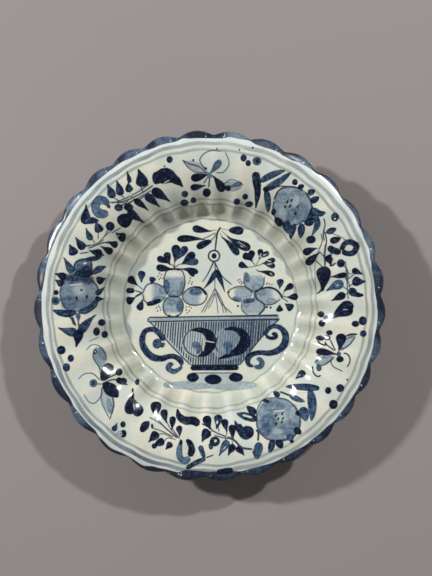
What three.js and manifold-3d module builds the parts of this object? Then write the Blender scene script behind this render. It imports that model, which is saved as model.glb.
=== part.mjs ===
// A lobed, tin-glazed earthenware dish, laid flat on its foot ring. Millimetres, +Z up.
// The origin is at the centre of the foot ring's resting face.
// The dish was pressed over a fluted mould, so its wall has one thickness and its lobes show
// on both faces. The foot ring was thrown apart, luted to the flat underside and pierced.
import * as THREE from "three";
import Module from "manifold-3d";
import { mergeVertices } from "three/addons/utils/BufferGeometryUtils.js";

// Driving dimensions of the dish
const rimRadius = 170; // to the middle of a lobe's edge
const wellRadius = 84; // where the flat floor ends
const shoulderRadius = 101; // where the steep wall turns into the broad rim
const wallRise = 18; // from the floor up to the shoulder
const rimRise = 17; // from the shoulder up to the lip
const rimArch = 8; // how far the broad rim bulges above a straight slope, so that its lip droops
const floorThickness = 6.5;
const lipThickness = 6;

// Driving dimensions of the lobes
const lobeCount = 29;
const scallopDepth = 5; // how far a lobe's edge stands out past the notches beside it
const wallFluteDepth = 3; // hollow of a lobe at the shoulder
const rimFluteDepth = 2.2; // hollow of a lobe at the lip
const ridgeSoftness = 0.16; // rounding of the ridges between lobes, as a share of a lobe
const wallRounding = 0.35; // 0 for hollows between sharp ridges, 1 for an even wave
const rimRounding = 0.85; // the same on the calm part of the broad rim
const calmDepth = 0.34; // how much of the flutes' depth is left on the calm part of the rim
const calmStart = 0.3; // where it starts, as a share of the way from the shoulder to the lip
const calmEnd = 0.8; // and where it ends, towards the deep scallops of the lip
const lobeHeading = -0.047; // radians from +X to the middle of the first lobe
const lobeDrift = 0.055; // radians by which the lobes crowd towards one side of the dish
const driftPhase = 2.68;
const lobeWander = 0.019; // radians by which they drift twice round the dish
const wanderPhase = -1.65;

// Driving dimensions of the foot ring
const footHeight = 8;
const footRadius = 77; // outer radius at the seat on the underside
const footThickness = 8; // at the seat
const footTaper = 1.5; // each side draws in by this much towards the resting face
const footEdgeRound = 1.2;
const cordHoleRadius = 1.8; // the pair of holes pierced for a hanging cord
const cordHoleSpacing = 24;

// Fineness of the mesh
const stepsPerLobe = 8;
const wallSteps = 5;
const rimSteps = 5;
const lipSteps = 4;
const footSegments = 96;
const footRoundSteps = 3;
const holeSegments = 16;

const floorHeight = footHeight + floorThickness;
const shoulderHeight = floorHeight + wallRise;
const notchRadius = rimRadius - scallopDepth;
const lipLean = Math.atan2(rimRise - 4 * rimArch, notchRadius - shoulderRadius);
const rimReach = notchRadius - shoulderRadius - (lipThickness / 2) * (1 + Math.sin(lipLean));
const lobeSpread = scallopDepth - rimFluteDepth * Math.sin(lipLean);

const glaze = new THREE.MeshStandardMaterial({ color: 0xd9ddd2, roughness: 0.16, metalness: 0 });
const footGlaze = new THREE.MeshStandardMaterial({ color: 0xd2cfbf, roughness: 0.3, metalness: 0 });

// The front of the dish along a ridge, as curves of radius and height
const rimCurve = new THREE.QuadraticBezierCurve(
  new THREE.Vector2(shoulderRadius, shoulderHeight),
  new THREE.Vector2(shoulderRadius + rimReach / 2, shoulderHeight + rimRise / 2 + 2 * rimArch),
  new THREE.Vector2(shoulderRadius + rimReach, shoulderHeight + rimRise),
);
const shoulderTurn = rimCurve.getTangent(0).multiplyScalar(wallRise / 2);
const wallCurve = new THREE.CubicBezierCurve(
  new THREE.Vector2(wellRadius, floorHeight),
  new THREE.Vector2((wellRadius + shoulderRadius) / 2, floorHeight),
  new THREE.Vector2(shoulderRadius - shoulderTurn.x, shoulderHeight - shoulderTurn.y),
  new THREE.Vector2(shoulderRadius, shoulderHeight),
);

// 0 at a ridge and 1 in the middle of a lobe, for an angle round the mould
function lobeProfile(mouldAngle) {
  const across = Math.cos((lobeCount * mouldAngle) / 2);
  const soft = Math.hypot(across, ridgeSoftness) - ridgeSoftness;
  return soft / (Math.hypot(1, ridgeSoftness) - ridgeSoftness);
}

// The same for the hollow of a lobe, whose ridges are rounded off further
function hollowProfile(mouldAngle, rounding) {
  const wave = Math.cos((lobeCount * mouldAngle) / 2) ** 2;
  return THREE.MathUtils.lerp(lobeProfile(mouldAngle), wave, rounding);
}

// The even lobes of the mould drift a little on the finished dish
function dishAngle(mouldAngle) {
  const crowding = lobeDrift * Math.sin(mouldAngle + driftPhase);
  const wandering = lobeWander * Math.sin(2 * mouldAngle + wanderPhase);
  return lobeHeading + mouldAngle + crowding + wandering;
}

// One place along the section: the front point, its normal, and what the lobes do to it there
function station(curve, t, fluteDepth, rounding, thickness) {
  const point = curve.getPoint(t);
  const tangent = curve.getTangent(t);
  const normal = new THREE.Vector2(-tangent.y, tangent.x);
  const reach = Math.max(0, (point.x - shoulderRadius) / rimReach);
  return { point, normal, fluteDepth, rounding, thickness, spread: lobeSpread * reach ** 2 };
}

// 1 on the calm part of the rim, falling to 0 at the shoulder and at the lip
function calmness(t) {
  return Math.min(1, t / calmStart) * Math.min(1, (1 - t) / (1 - calmEnd));
}

function wallAndRimStations() {
  const stations = [];
  for (let i = 0; i <= wallSteps; i++) {
    const t = i / wallSteps;
    const depth = wallFluteDepth * Math.sin((Math.PI / 2) * t);
    stations.push(station(wallCurve, t, depth, wallRounding, floorThickness));
  }
  for (let i = 1; i <= rimSteps; i++) {
    const t = i / rimSteps;
    const pressing = THREE.MathUtils.lerp(wallFluteDepth, rimFluteDepth, Math.sin((Math.PI / 2) * t));
    const depth = pressing * THREE.MathUtils.lerp(1, calmDepth, calmness(t));
    const rounding = THREE.MathUtils.lerp(wallRounding, rimRounding, calmness(t));
    const thickness = THREE.MathUtils.lerp(floorThickness, lipThickness, t);
    stations.push(station(rimCurve, t, depth, rounding, thickness));
  }
  return stations;
}

// The closed section: out along the underside, round the lip, and back along the front
function dishSection() {
  const stations = wallAndRimStations();
  const front = stations.map((s) => ({ ...s, offset: new THREE.Vector2() })).reverse();
  const back = stations.map((s) => ({
    ...s,
    offset: s.normal.clone().multiplyScalar(-s.thickness),
  }));
  const last = stations[stations.length - 1];
  const outward = new THREE.Vector2(last.normal.y, -last.normal.x);
  const lip = [];
  for (let i = 1; i < lipSteps; i++) {
    const turn = Math.PI * (1 - i / lipSteps);
    const offset = last.normal
      .clone()
      .multiplyScalar(((Math.cos(turn) - 1) * last.thickness) / 2)
      .addScaledVector(outward, (Math.sin(turn) * last.thickness) / 2);
    lip.push({ ...last, offset });
  }
  const flat = {
    normal: new THREE.Vector2(0, 1),
    offset: new THREE.Vector2(),
    fluteDepth: 0,
    rounding: 0,
    spread: 0,
  };
  return [
    { ...flat, point: new THREE.Vector2(0, footHeight) },
    ...back,
    ...lip,
    ...front,
    { ...flat, point: new THREE.Vector2(0, floorHeight) },
  ];
}

// A station's radius and height at one angle round the mould
function pressed(place, mouldAngle) {
  const hollow = hollowProfile(mouldAngle, place.rounding);
  return place.point
    .clone()
    .add(place.offset)
    .addScaledVector(place.normal, -place.fluteDepth * hollow)
    .add(new THREE.Vector2(place.spread * lobeProfile(mouldAngle), 0));
}

function makeDish() {
  const section = dishSection();
  const segments = lobeCount * stepsPerLobe;
  const outline = section.map((place) => pressed(place, 0));
  const geometry = new THREE.LatheGeometry(outline, segments);
  geometry.deleteAttribute("normal");
  geometry.deleteAttribute("uv");
  const position = geometry.getAttribute("position");
  for (let i = 0; i <= segments; i++) {
    const mouldAngle = (2 * Math.PI * (i % segments)) / segments;
    const angle = dishAngle(mouldAngle);
    section.forEach((place, j) => {
      const at = pressed(place, mouldAngle);
      position.setXYZ(i * section.length + j, at.x * Math.cos(angle), at.x * Math.sin(angle), at.y);
    });
  }
  geometry.computeVertexNormals();
  const dish = new THREE.Mesh(geometry, glaze);
  dish.name = "dish";
  return dish;
}

// The foot ring's section: flat on top against the underside, tapering to a rounded resting edge
function footSection() {
  const inner = footRadius - footThickness;
  const shape = new THREE.Path();
  shape.moveTo(inner, footHeight);
  shape.lineTo(inner + footTaper, footEdgeRound);
  shape.quadraticCurveTo(inner + footTaper, 0, inner + footTaper + footEdgeRound, 0);
  shape.lineTo(footRadius - footTaper - footEdgeRound, 0);
  shape.quadraticCurveTo(footRadius - footTaper, 0, footRadius - footTaper, footEdgeRound);
  shape.lineTo(footRadius, footHeight);
  shape.lineTo(inner, footHeight);
  return shape.getPoints(footRoundSteps);
}

function toSolid(wasm, geometry) {
  const bare = geometry.clone();
  bare.deleteAttribute("normal");
  bare.deleteAttribute("uv");
  const merged = mergeVertices(bare, 1e-4);
  return new wasm.Manifold(
    new wasm.Mesh({
      numProp: 3,
      vertProperties: new Float32Array(merged.attributes.position.array),
      triVerts: new Uint32Array(merged.index.array),
    }),
  );
}

function toGeometry(solid) {
  const mesh = solid.getMesh();
  const geometry = new THREE.BufferGeometry();
  geometry.setAttribute("position", new THREE.BufferAttribute(mesh.vertProperties, 3));
  geometry.setIndex(new THREE.BufferAttribute(mesh.triVerts, 1));
  geometry.computeVertexNormals();
  return geometry;
}

function makeFootRing(wasm) {
  const ringGeometry = new THREE.LatheGeometry(footSection(), footSegments);
  ringGeometry.rotateX(Math.PI / 2);
  let ring = toSolid(wasm, ringGeometry);
  for (const side of [-1, 1]) {
    const drill = new THREE.CylinderGeometry(cordHoleRadius, cordHoleRadius, footThickness * 3, holeSegments);
    drill.translate((side * cordHoleSpacing) / 2, footRadius - footThickness / 2, footHeight / 2);
    ring = ring.subtract(toSolid(wasm, drill));
  }
  const foot = new THREE.Mesh(toGeometry(ring), footGlaze);
  foot.name = "foot_ring";
  return foot;
}

const wasm = await Module();
wasm.setup();

const plate = new THREE.Group();
plate.add(makeDish(), makeFootRing(wasm));

export default plate;
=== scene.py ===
import math

import bpy
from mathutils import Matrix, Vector, interpolate, noise
from mathutils.bvhtree import BVHTree


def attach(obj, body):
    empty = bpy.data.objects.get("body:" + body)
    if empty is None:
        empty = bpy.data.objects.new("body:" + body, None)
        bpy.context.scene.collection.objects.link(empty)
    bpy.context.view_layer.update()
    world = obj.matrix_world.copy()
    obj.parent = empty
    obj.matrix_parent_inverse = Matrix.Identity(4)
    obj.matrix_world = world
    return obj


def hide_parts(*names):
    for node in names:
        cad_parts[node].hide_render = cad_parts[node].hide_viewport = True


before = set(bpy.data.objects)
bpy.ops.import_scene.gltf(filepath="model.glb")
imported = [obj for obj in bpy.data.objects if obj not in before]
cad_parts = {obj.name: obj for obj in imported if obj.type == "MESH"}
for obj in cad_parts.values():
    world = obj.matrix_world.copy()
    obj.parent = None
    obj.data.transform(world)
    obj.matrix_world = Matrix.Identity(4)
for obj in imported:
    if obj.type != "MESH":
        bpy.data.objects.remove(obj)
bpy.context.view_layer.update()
mm = 0.001
print("frame loaded")


class Wire:
    # a socket that does arithmetic by adding Math nodes
    def __init__(self, look, socket):
        self.look = look
        self.socket = socket

    def joined(self, operation, first, second):
        return self.look.add("ShaderNodeMath", {"operation": operation}, {0: first, 1: second})

    def __add__(self, other):
        return self.joined("ADD", self, other)

    def __radd__(self, other):
        return self.joined("ADD", other, self)

    def __sub__(self, other):
        return self.joined("SUBTRACT", self, other)

    def __rsub__(self, other):
        return self.joined("SUBTRACT", other, self)

    def __mul__(self, other):
        return self.joined("MULTIPLY", self, other)

    def __rmul__(self, other):
        return self.joined("MULTIPLY", other, self)


class Look:
    # one material and the nodes in it
    def __init__(self, name):
        self.material = bpy.data.materials.new(name)
        self.material.use_nodes = True
        self.tree = self.material.node_tree
        self.tree.nodes.clear()
        self.place = self.add("ShaderNodeTexCoord", {}, {}, "Object")

    def add(self, kind, settings, sockets, *outputs):
        node = self.tree.nodes.new(kind)
        for key, value in settings.items():
            if key == "stops":
                self.setStops(node.color_ramp, value)
            else:
                setattr(node, key, value)
        for key, value in sockets.items():
            if isinstance(value, Wire):
                self.tree.links.new(value.socket, node.inputs[key])
            else:
                node.inputs[key].default_value = value
        wires = [Wire(self, node.outputs[key]) for key in outputs or (0,) if node.outputs]
        return wires if len(wires) != 1 else wires[0]

    def setStops(self, ramp, stops):
        ramp.elements.remove(ramp.elements[1])
        ramp.elements[0].position, ramp.elements[0].color = stops[0][0], shade(*stops[0][1])
        for at, colour in stops[1:]:
            ramp.elements.new(at).color = shade(*colour)

    def noise(self, perMetre, detail=3.0, roughness=0.5):
        sockets = {"Vector": self.place, "Scale": perMetre, "Detail": detail, "Roughness": roughness}
        return self.add("ShaderNodeTexNoise", {}, sockets)

    def spots(self, perMetre, radius, share):
        # round spots: cells a metre, the radius of a spot in metres and the share of cells that have one
        sockets = {"Vector": self.place, "Scale": perMetre}
        away, colour = self.add("ShaderNodeTexVoronoi", {}, sockets, "Distance", "Color")
        chance = self.add("ShaderNodeSeparateColor", {}, {0: colour})
        near = self.ease(away, radius * perMetre * 0.6, radius * perMetre * 1.3, 1.0, 0.0)
        return near * self.ease(chance, 1 - share - 0.01, 1 - share + 0.01)

    def ease(self, value, low, high, toLow=0.0, toHigh=1.0):
        sockets = {"Value": value, "From Min": low, "From Max": high, "To Min": toLow, "To Max": toHigh}
        return self.add("ShaderNodeMapRange", {"interpolation_type": "SMOOTHSTEP"}, sockets)

    def blend(self, factor, first, second, how="MIX"):
        ends = [shade(*c) if isinstance(c, tuple) else c for c in (first, second)]
        settings = {"data_type": "RGBA", "blend_type": how}
        return self.add("ShaderNodeMix", settings, {0: factor, 6: ends[0], 7: ends[1]}, 2)

    def carried(self, name):
        # the three numbers that a mesh carries under this name
        vector = self.add("ShaderNodeAttribute", {"attribute_name": name}, {}, "Vector")
        return self.add("ShaderNodeSeparateXYZ", {}, {0: vector}, "X", "Y", "Z")

    def finish(self, sockets):
        surface = self.add("ShaderNodeBsdfPrincipled", {}, sockets)
        self.add("ShaderNodeOutputMaterial", {}, {"Surface": surface})
        return self.material


def shade(red, green, blue):
    # a colour as a screen shows it, 0 to 255, turned into the scene's own light values
    shares = [part / 255 for part in (red, green, blue)]
    return tuple(s / 12.92 if s <= 0.04045 else ((s + 0.055) / 1.055) ** 2.4 for s in shares) + (1.0,)


def eased(part):
    # 0 to 1 with a soft start and a soft end
    return part * part * (3 - 2 * part)


def placed(name, data):
    # a new object in the scene
    thing = bpy.data.objects.new(name, data)
    bpy.context.scene.collection.objects.link(thing)
    return thing


def meshPiece(name, points, faces, materials, normals=None, carried=None, stands=None):
    # one smooth mesh that rides on the dish; points are in millimetres
    mesh = bpy.data.meshes.new(name)
    mesh.from_pydata([Vector(p) * mm for p in points], [], faces)
    mesh.shade_smooth()
    for key, values in (carried or {}).items():
        layer = mesh.attributes.new(key, "FLOAT_VECTOR", "POINT")
        layer.data.foreach_set("vector", [part for value in values for part in value])
    if normals:
        mesh.normals_split_custom_set_from_vertices(normals)
    for material in materials:
        mesh.materials.append(material)
    piece = placed(name, mesh)
    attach(piece, "root")
    if stands:
        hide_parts(stands)
    return piece


# The camera looks straight down on the dish, which lies on its foot

camera = {
    "x": 5.98, "y": 17.4, "overLip": 1000.0, "lipHeight": 49.5,
    "seenHeight": 552.3, "sensor": 36.0, "nearest": 10.0,
}

eye = bpy.data.cameras.new("camera")
eye.sensor_width = camera["sensor"]
eye.lens = camera["sensor"] * camera["overLip"] / camera["seenHeight"]
eye.clip_start = camera["nearest"] * mm
eyeHolder = placed("camera", eye)
eyeHolder.location = Vector((camera["x"], camera["y"], camera["overLip"] + camera["lipHeight"])) * mm
bpy.context.scene.camera = eyeHolder

lights = [
    # heading from +X and elevation in degrees, distance and size in metres, and the share of plain light
    {"name": "left_window", "heading": 156, "elevation": 35, "distance": 3.0, "size": 0.15, "share": 0.76},
    {"name": "right_window", "heading": 46, "elevation": 40, "distance": 3.0, "size": 0.12, "share": 0.57},
]
skyLight = {"colour": (196, 196, 198), "strength": 0.30}

for lamp in lights:
    data = bpy.data.lights.new(lamp["name"], "AREA")
    data.size = lamp["size"]
    data.energy = lamp["share"] * (math.pi * lamp["distance"]) ** 2
    heading, elevation = math.radians(lamp["heading"]), math.radians(lamp["elevation"])
    flat = math.cos(elevation)
    away = Vector((flat * math.cos(heading), flat * math.sin(heading), math.sin(elevation)))
    holder = placed(lamp["name"], data)
    holder.location = away * lamp["distance"]
    holder.rotation_mode = "QUATERNION"
    holder.rotation_quaternion = away.to_track_quat("Z", "Y")

world = bpy.data.worlds.new("room")
world.use_nodes = True
background = world.node_tree.nodes["Background"]
background.inputs["Color"].default_value = shade(*skyLight["colour"])
background.inputs["Strength"].default_value = skyLight["strength"]
bpy.context.scene.world = world
bpy.context.scene.view_settings.view_transform = "Standard"

floor = {
    "half": 3000.0, "pale": (152, 144, 142), "dim": (144, 137, 135), "cloudScale": 2.5, "roughness": 0.8,
}

floorLook = Look("floor_paint")
floorTone = floorLook.blend(floorLook.noise(floor["cloudScale"]), floor["dim"], floor["pale"])
floorMaterial = floorLook.finish({"Base Color": floorTone, "Roughness": floor["roughness"]})
side = floor["half"]
floorMesh = bpy.data.meshes.new("floor")
corners = [(-side, -side, 0), (side, -side, 0), (side, side, 0), (-side, side, 0)]
floorMesh.from_pydata([Vector(p) * mm for p in corners], [], [(0, 1, 2, 3)])
floorMesh.materials.append(floorMaterial)
floorPiece = placed("floor", floorMesh)
print("camera, lights and floor made")


# Glaze

glaze = {
    # crest is a whiter, cooler glaze near the lip, partly a painted highlight along the lit crest
    "cream": (226, 223, 204), "cool": (205, 214, 204), "thin": (226, 218, 205), "pooled": (198, 207, 196),
    # deep and its share are painted shade: a darker green-grey laid into the flute hollows of the wall
    "crest": (214, 223, 221), "deep": (170, 168, 144), "wallShadeShare": 0.42, "mottle": (168, 172, 158),
    "mottleShare": 0.16, "iron": (92, 72, 58), "ironShare": 0.7, "pinhole": (58, 44, 38),
    "pinholeShare": 0.85,
    # spots: cells to a metre, the radius of a spot in metres, and the share of the cells that have one
    "specks": (150, 0.00034, 0.22), "pinholes": (58, 0.00045, 0.2),
    "roughness": 0.11, "worn": 0.26, "lipWorn": 0.13, "refraction": 1.5,
    "bump": 0.35, "bumpHeight": 0.0006, "peel": 0.16, "wave": 0.5, "pit": 0.8,
}


def glazeCoat(look):
    # colour, roughness and height of the tin glaze, the same where it is bare and where it is painted
    lobe, run, _ = look.carried("press")
    clouds = look.ease(look.noise(26, 4.0, 0.6), 0.36, 0.64)
    ground = look.blend(clouds, glaze["cream"], glaze["cool"])
    hollow = look.ease(lobe, 0.35, 0.95) * look.ease(run, 0.0, 0.35)
    crest = look.ease(lobe, 0.30, 0.02) * look.ease(run, 0.03, 0.25)
    pooled = look.blend(hollow * look.ease(look.noise(60), 0.3, 0.75, 0.25, 0.75), ground, glaze["pooled"])
    thinned = look.blend(crest * look.ease(look.noise(110), 0.35, 0.7, 0.2, 0.9), pooled, glaze["thin"])
    # painted shade: the hollows of the wall's flutes are darkened toward a green-grey
    wallShadeMask = look.ease(run, 0.03, 0.15) * look.ease(run, 0.60, 0.42, 0.0, glaze["wallShadeShare"])
    wallShaded = look.blend(look.ease(lobe, 0.25, 0.85) * wallShadeMask, thinned, glaze["deep"])
    mottle = look.ease(look.noise(420, 4.0, 0.65), 0.3, 0.72, 0.0, glaze["mottleShare"])
    mottled = look.blend(mottle, wallShaded, glaze["mottle"])
    specks = look.spots(*glaze["specks"]) * glaze["ironShare"]
    pinholes = look.spots(*glaze["pinholes"])
    speckled = look.blend(specks, mottled, glaze["iron"])
    pitted = look.blend(pinholes * glaze["pinholeShare"], speckled, glaze["pinhole"])
    rough = look.ease(look.noise(75, 4.0), 0.42, 0.8, glaze["roughness"], glaze["worn"])
    rough = rough + look.ease(run, 0.86, 0.94, 0.0, glaze["lipWorn"])
    waves = look.noise(210, 2.0) * glaze["peel"] + look.noise(55, 2.0) * glaze["wave"]
    height = waves - pinholes * glaze["pit"]
    # near the lip the glaze turns whiter and cooler, partly a painted highlight along the lit crest
    colour = look.blend(look.ease(run, 0.88, 0.97, 0.0, 0.8), pitted, glaze["crest"])
    return colour, rough, height


def glazeFinish(look, colour, rough, height, alpha=1.0):
    # the surface of glaze or paint, with its small waves and pits
    bump = look.add("ShaderNodeBump", {}, {
        "Strength": glaze["bump"], "Distance": glaze["bumpHeight"], "Height": height})
    return look.finish({
        "Base Color": colour, "Roughness": rough, "Normal": bump, "IOR": glaze["refraction"],
        "Alpha": alpha})


bareLook = Look("tin_glaze")
bareGlaze = glazeFinish(bareLook, *glazeCoat(bareLook))


# The dish, from the same curves as the solid, with far finer steps

dish = {
    "rimRadius": 170.0, "wellRadius": 84.0, "shoulderRadius": 101.0, "wallRise": 18.0, "rimRise": 17.0,
    "rimArch": 8.0, "floorThickness": 6.5, "lipThickness": 6.0, "footHeight": 8.0,
    "lobes": 29, "scallop": 5.0, "wallFlute": 3.0, "rimFlute": 2.2, "softness": 0.16,
    "heading": -0.047, "drift": 0.055, "driftPhase": 2.68, "wander": 0.019, "wanderPhase": -1.65,
    "lobeSteps": 24, "wallSteps": 24, "rimSteps": 28, "backSteps": 9, "lipSteps": 12, "wellSteps": 8,
    # how close the mesh points draw together at a ridge, where on the lip's half turn the front begins, and
    # how the way from the well to the lip is shared out, for the glaze
    "ridgeCrowding": 0.09, "frontTurn": 0.55, "wallShare": 0.45, "rimShare": 0.55,
    # the irregularities of the hand: dents, uneven lobes and a droop of the outermost edge
    "handWork": 0.16, "handDip": 0.42, "handScale": 0.045, "lobeUneven": 0.18, "unevenScale": 6.5,
    "scallopShare": 0.965, "crestRadius": 162.5, "crestWidth": 4.5, "lipDroop": 0.32,
    # the flutes are calmer and rounder between the shoulder and the lip
    "rimCalm": 0.34, "calmFrom": 0.30, "calmTo": 0.80, "wallRound": 0.35, "rimRound": 0.85,
}

floorHeight = dish["footHeight"] + dish["floorThickness"]
shoulder = Vector((dish["shoulderRadius"], floorHeight + dish["wallRise"]))
notchRadius = dish["rimRadius"] - dish["scallop"]
halfLip = dish["lipThickness"] / 2
lipLean = math.atan2(dish["rimRise"] - 4 * dish["rimArch"], notchRadius - shoulder.x)
rimReach = notchRadius - shoulder.x - halfLip * (1 + math.sin(lipLean))
lobeSpread = dish["scallop"] - dish["rimFlute"] * math.sin(lipLean)
rimMiddle = shoulder + Vector((rimReach / 2, dish["rimRise"] / 2 + 2 * dish["rimArch"]))
rimCurve = [shoulder, rimMiddle, shoulder + Vector((rimReach, dish["rimRise"]))]
wallFoot = Vector((dish["wellRadius"], floorHeight))
wallEase = Vector(((dish["wellRadius"] + shoulder.x) / 2, floorHeight))
shoulderTurn = (rimMiddle - shoulder).normalized() * dish["wallRise"] / 2
wallCurve = [wallFoot, wallEase, shoulder - shoulderTurn, shoulder]


def bezier(handles, t):
    # point and direction on a curve, by drawing its handles together
    level = handles
    while len(level) > 2:
        level = [a.lerp(b, t) for a, b in zip(level, level[1:])]
    return level[0].lerp(level[1], t), (level[1] - level[0]).normalized()


def station(curve, t):
    # one place on the section: its point, outward normal, flute depth, lobe spread, thickness, share of
    # the way from the well to the lip, and how round its flutes are
    point, run = bezier(curve, t)
    grown = math.sin(math.pi / 2 * t)
    depth, share = dish["wallFlute"] * grown, dish["wallShare"] * t
    thickness, rounded = dish["floorThickness"], dish["wallRound"]
    if curve is rimCurve:
        sunk = min(1.0, t / dish["calmFrom"]) * min(1.0, max(0.0, (1 - t) / (1 - dish["calmTo"])))
        depth = dish["wallFlute"] + (dish["rimFlute"] - dish["wallFlute"]) * grown
        depth *= 1 - (1 - dish["rimCalm"]) * sunk
        share = dish["wallShare"] + dish["rimShare"] * t
        thickness += (dish["lipThickness"] - thickness) * t
        rounded += (dish["rimRound"] - rounded) * sunk
    spread = lobeSpread * max(0.0, (point.x - shoulder.x) / rimReach) ** 2
    return {"point": point, "normal": Vector((-run.y, run.x)), "depth": depth, "spread": spread,
            "thickness": thickness, "share": share, "rounded": rounded}


def layer(place, offset, front):
    # the same place moved off its curve; front is 1 on the painted face, 0 on the back and 0.5 round the lip
    return dict(place, point=place["point"] + offset, front=front)


def sectionRows():
    # the section from the middle of the underside, out round the lip and back to the middle of the well
    places = [station(wallCurve, i / dish["wallSteps"]) for i in range(dish["wallSteps"] + 1)]
    places += [station(rimCurve, i / dish["rimSteps"]) for i in range(1, dish["rimSteps"] + 1)]
    backWall = [station(wallCurve, i / dish["backSteps"]) for i in range(dish["backSteps"] + 1)]
    backRim = [station(rimCurve, i / dish["backSteps"]) for i in range(1, dish["backSteps"] + 1)]
    flat = {"normal": Vector((0, 1)), "depth": 0.0, "spread": 0.0, "share": 0.0, "rounded": 0.0}
    inward = [dish["wellRadius"] * i / dish["wellSteps"] for i in range(1, dish["wellSteps"])]
    rows = [dict(flat, point=Vector((r, dish["footHeight"])), front=0.0) for r in inward]
    rows += [layer(p, -p["normal"] * p["thickness"], 0.0) for p in (backWall + backRim)[:-1]]
    edge = places[-1]
    outward = Vector((edge["normal"].y, -edge["normal"].x))
    for i in range(dish["lipSteps"]):
        turn = math.pi * (1 - i / dish["lipSteps"])
        offset = edge["normal"] * (math.cos(turn) - 1) * halfLip + outward * math.sin(turn) * halfLip
        rows.append(layer(edge, offset, 0.5 if turn > dish["frontTurn"] * math.pi else 1.0))
    rows += [layer(p, Vector((0, 0)), 1.0) for p in reversed(places)]
    rows += [dict(flat, point=Vector((r, floorHeight)), front=1.0) for r in reversed(inward)]
    return rows


def lobeProfile(m):
    # 0 on a ridge, 1 in the middle of a lobe
    soft = dish["softness"]
    return (math.hypot(math.cos(dish["lobes"] * m / 2), soft) - soft) / (math.hypot(1, soft) - soft)


def dishAngle(m):
    wave = dish["drift"] * math.sin(m + dish["driftPhase"])
    return dish["heading"] + m + wave + dish["wander"] * math.sin(2 * m + dish["wanderPhase"])


def lobeStops():
    # the angles of the mesh, crowded together at the sharp ridges
    step = 2 * math.pi / dish["lobes"]
    stops = []
    for i in range(dish["lobes"] * dish["lobeSteps"]):
        lobe, part = divmod(i, dish["lobeSteps"])
        u = part / dish["lobeSteps"]
        stops.append(step * (lobe + u + dish["ridgeCrowding"] * math.sin(2 * math.pi * u)))
    return stops


def handPressed(point, normal):
    # the small unevenness of a hand-pressed sheet, always inwards
    dip = dish["handDip"] + dish["handWork"] * noise.noise(point * dish["handScale"])
    return point - normal * dip


rows = sectionRows()
stops = lobeStops()
around = len(stops)
dishPoints, dishPress = [], []
for place in rows:
    for m in stops:
        angle = dishAngle(m)
        heading = Vector((math.cos(angle), math.sin(angle), 0))
        lobe = lobeProfile(m)
        uneven = 0.5 + noise.noise(heading * dish["unevenScale"])
        deep = 1 - dish["lobeUneven"] * uneven * min(1.0, place["depth"])
        hollow = lobe + (math.cos(dish["lobes"] * m / 2) ** 2 - lobe) * place["rounded"]
        flat = place["point"] - place["normal"] * place["depth"] * hollow * deep
        flat = flat + Vector((place["spread"] * lobe * dish["scallopShare"], 0))
        beyond = max(0.0, flat.x - dish["crestRadius"])
        bend = min(beyond, dish["crestWidth"])
        droop = dish["lipDroop"] * (bend * bend / dish["crestWidth"] / 2 + beyond - bend)
        point = heading * flat.x + Vector((0, 0, flat.y - droop))
        side = 1 if place["front"] > 0.6 else -1
        upright = (Vector((0, 0, place["normal"].y)) + heading * place["normal"].x) * side
        dishPoints.append(handPressed(point, upright))
        dishPress.append((lobe, place["share"], place["front"]))
dishFaces = []
for i in range(len(rows) - 1):
    for j in range(around):
        near, far = i * around, (i + 1) * around
        following = (j + 1) % around
        dishFaces.append((near + j, near + following, far + following, far + j))
for row, height, front in ((0, dish["footHeight"], 0.0), (len(rows) - 1, floorHeight, 1.0)):
    middle = len(dishPoints)
    inwardNormal = Vector((0, 0, 1 if front else -1))
    dishPoints.append(handPressed(Vector((0, 0, height)), inwardNormal))
    dishPress.append((0.5, 0.0, front))
    for j in range(around):
        pair = (row * around + j, row * around + (j + 1) % around)
        dishFaces.append((*pair, middle) if front else (pair[1], pair[0], middle))
dishPiece = meshPiece("pressed_dish", dishPoints, dishFaces, [bareGlaze],
                      carried={"press": dishPress}, stands="dish")
dishNormals = [Vector(v.vector) for v in dishPiece.data.vertex_normals]
dishTree = BVHTree.FromPolygons(dishPoints, dishFaces)
print("dish made:", len(dishFaces), "faces")


def dishAt(x, y):
    # the painted face under this place: point, normal and what the dish carries there
    hit, _, face, _ = dishTree.ray_cast(Vector((x, y, 200)), Vector((0, 0, -1)))
    corners = dishFaces[face]
    weights = interpolate.poly_3d_calc([dishPoints[c] for c in corners], hit)
    normal = Vector()
    press = Vector()
    for corner, weight in zip(corners, weights):
        normal += dishNormals[corner] * weight
        press += Vector(dishPress[corner]) * weight
    return hit, normal.normalized(), press


# The foot ring, turned on the wheel, with its resting edge worn bare

footRing = {
    "radius": 77.0, "height": 8.0, "seat": 8.0, "taper": 1.5, "round": 1.2, "seam": 0.5,
    "segments": 288, "roundSteps": 6, "sharpAngle": 35,
    "holeRadius": 1.8, "holeSpacing": 24.0, "holeSegments": 28, "drillShare": 1.6,
    "clay": (196, 178, 150), "bare": (206, 190, 160), "stain": (142, 120, 94),
    "glazed": (200, 200, 182), "glazedDim": (188, 190, 172),
    # the glaze is worn off below this height, in metres
    "wornHigh": 0.0016, "wornLow": 0.0006, "wornUneven": 0.003,
    # above the bare clay the glaze is stained, up to this height, in metres
    "stainHigh": 0.0030, "stainLow": 0.0014, "stainShare": 0.5, "dirtShare": 0.55,
    "roughness": 0.16, "clayRoughness": 0.66, "bump": 0.5, "bumpHeight": 0.0004,
}


def footSection():
    # down the inner side, round two soft corners at the resting edge and up the outer side
    inner, outer = footRing["radius"] - footRing["seat"], footRing["radius"]
    low, soft = footRing["taper"], footRing["round"]
    top, steps = footRing["height"] + footRing["seam"], footRing["roundSteps"]
    section = [(inner, top), (inner, footRing["height"])]
    for corner in (
            [Vector((inner + low, soft)), Vector((inner + low, 0)), Vector((inner + low + soft, 0))],
            [Vector((outer - low - soft, 0)), Vector((outer - low, 0)), Vector((outer - low, soft))]):
        section += [tuple(bezier(corner, i / steps)[0]) for i in range(steps + 1)]
    return section + [(outer, footRing["height"]), (outer, top)]


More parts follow.
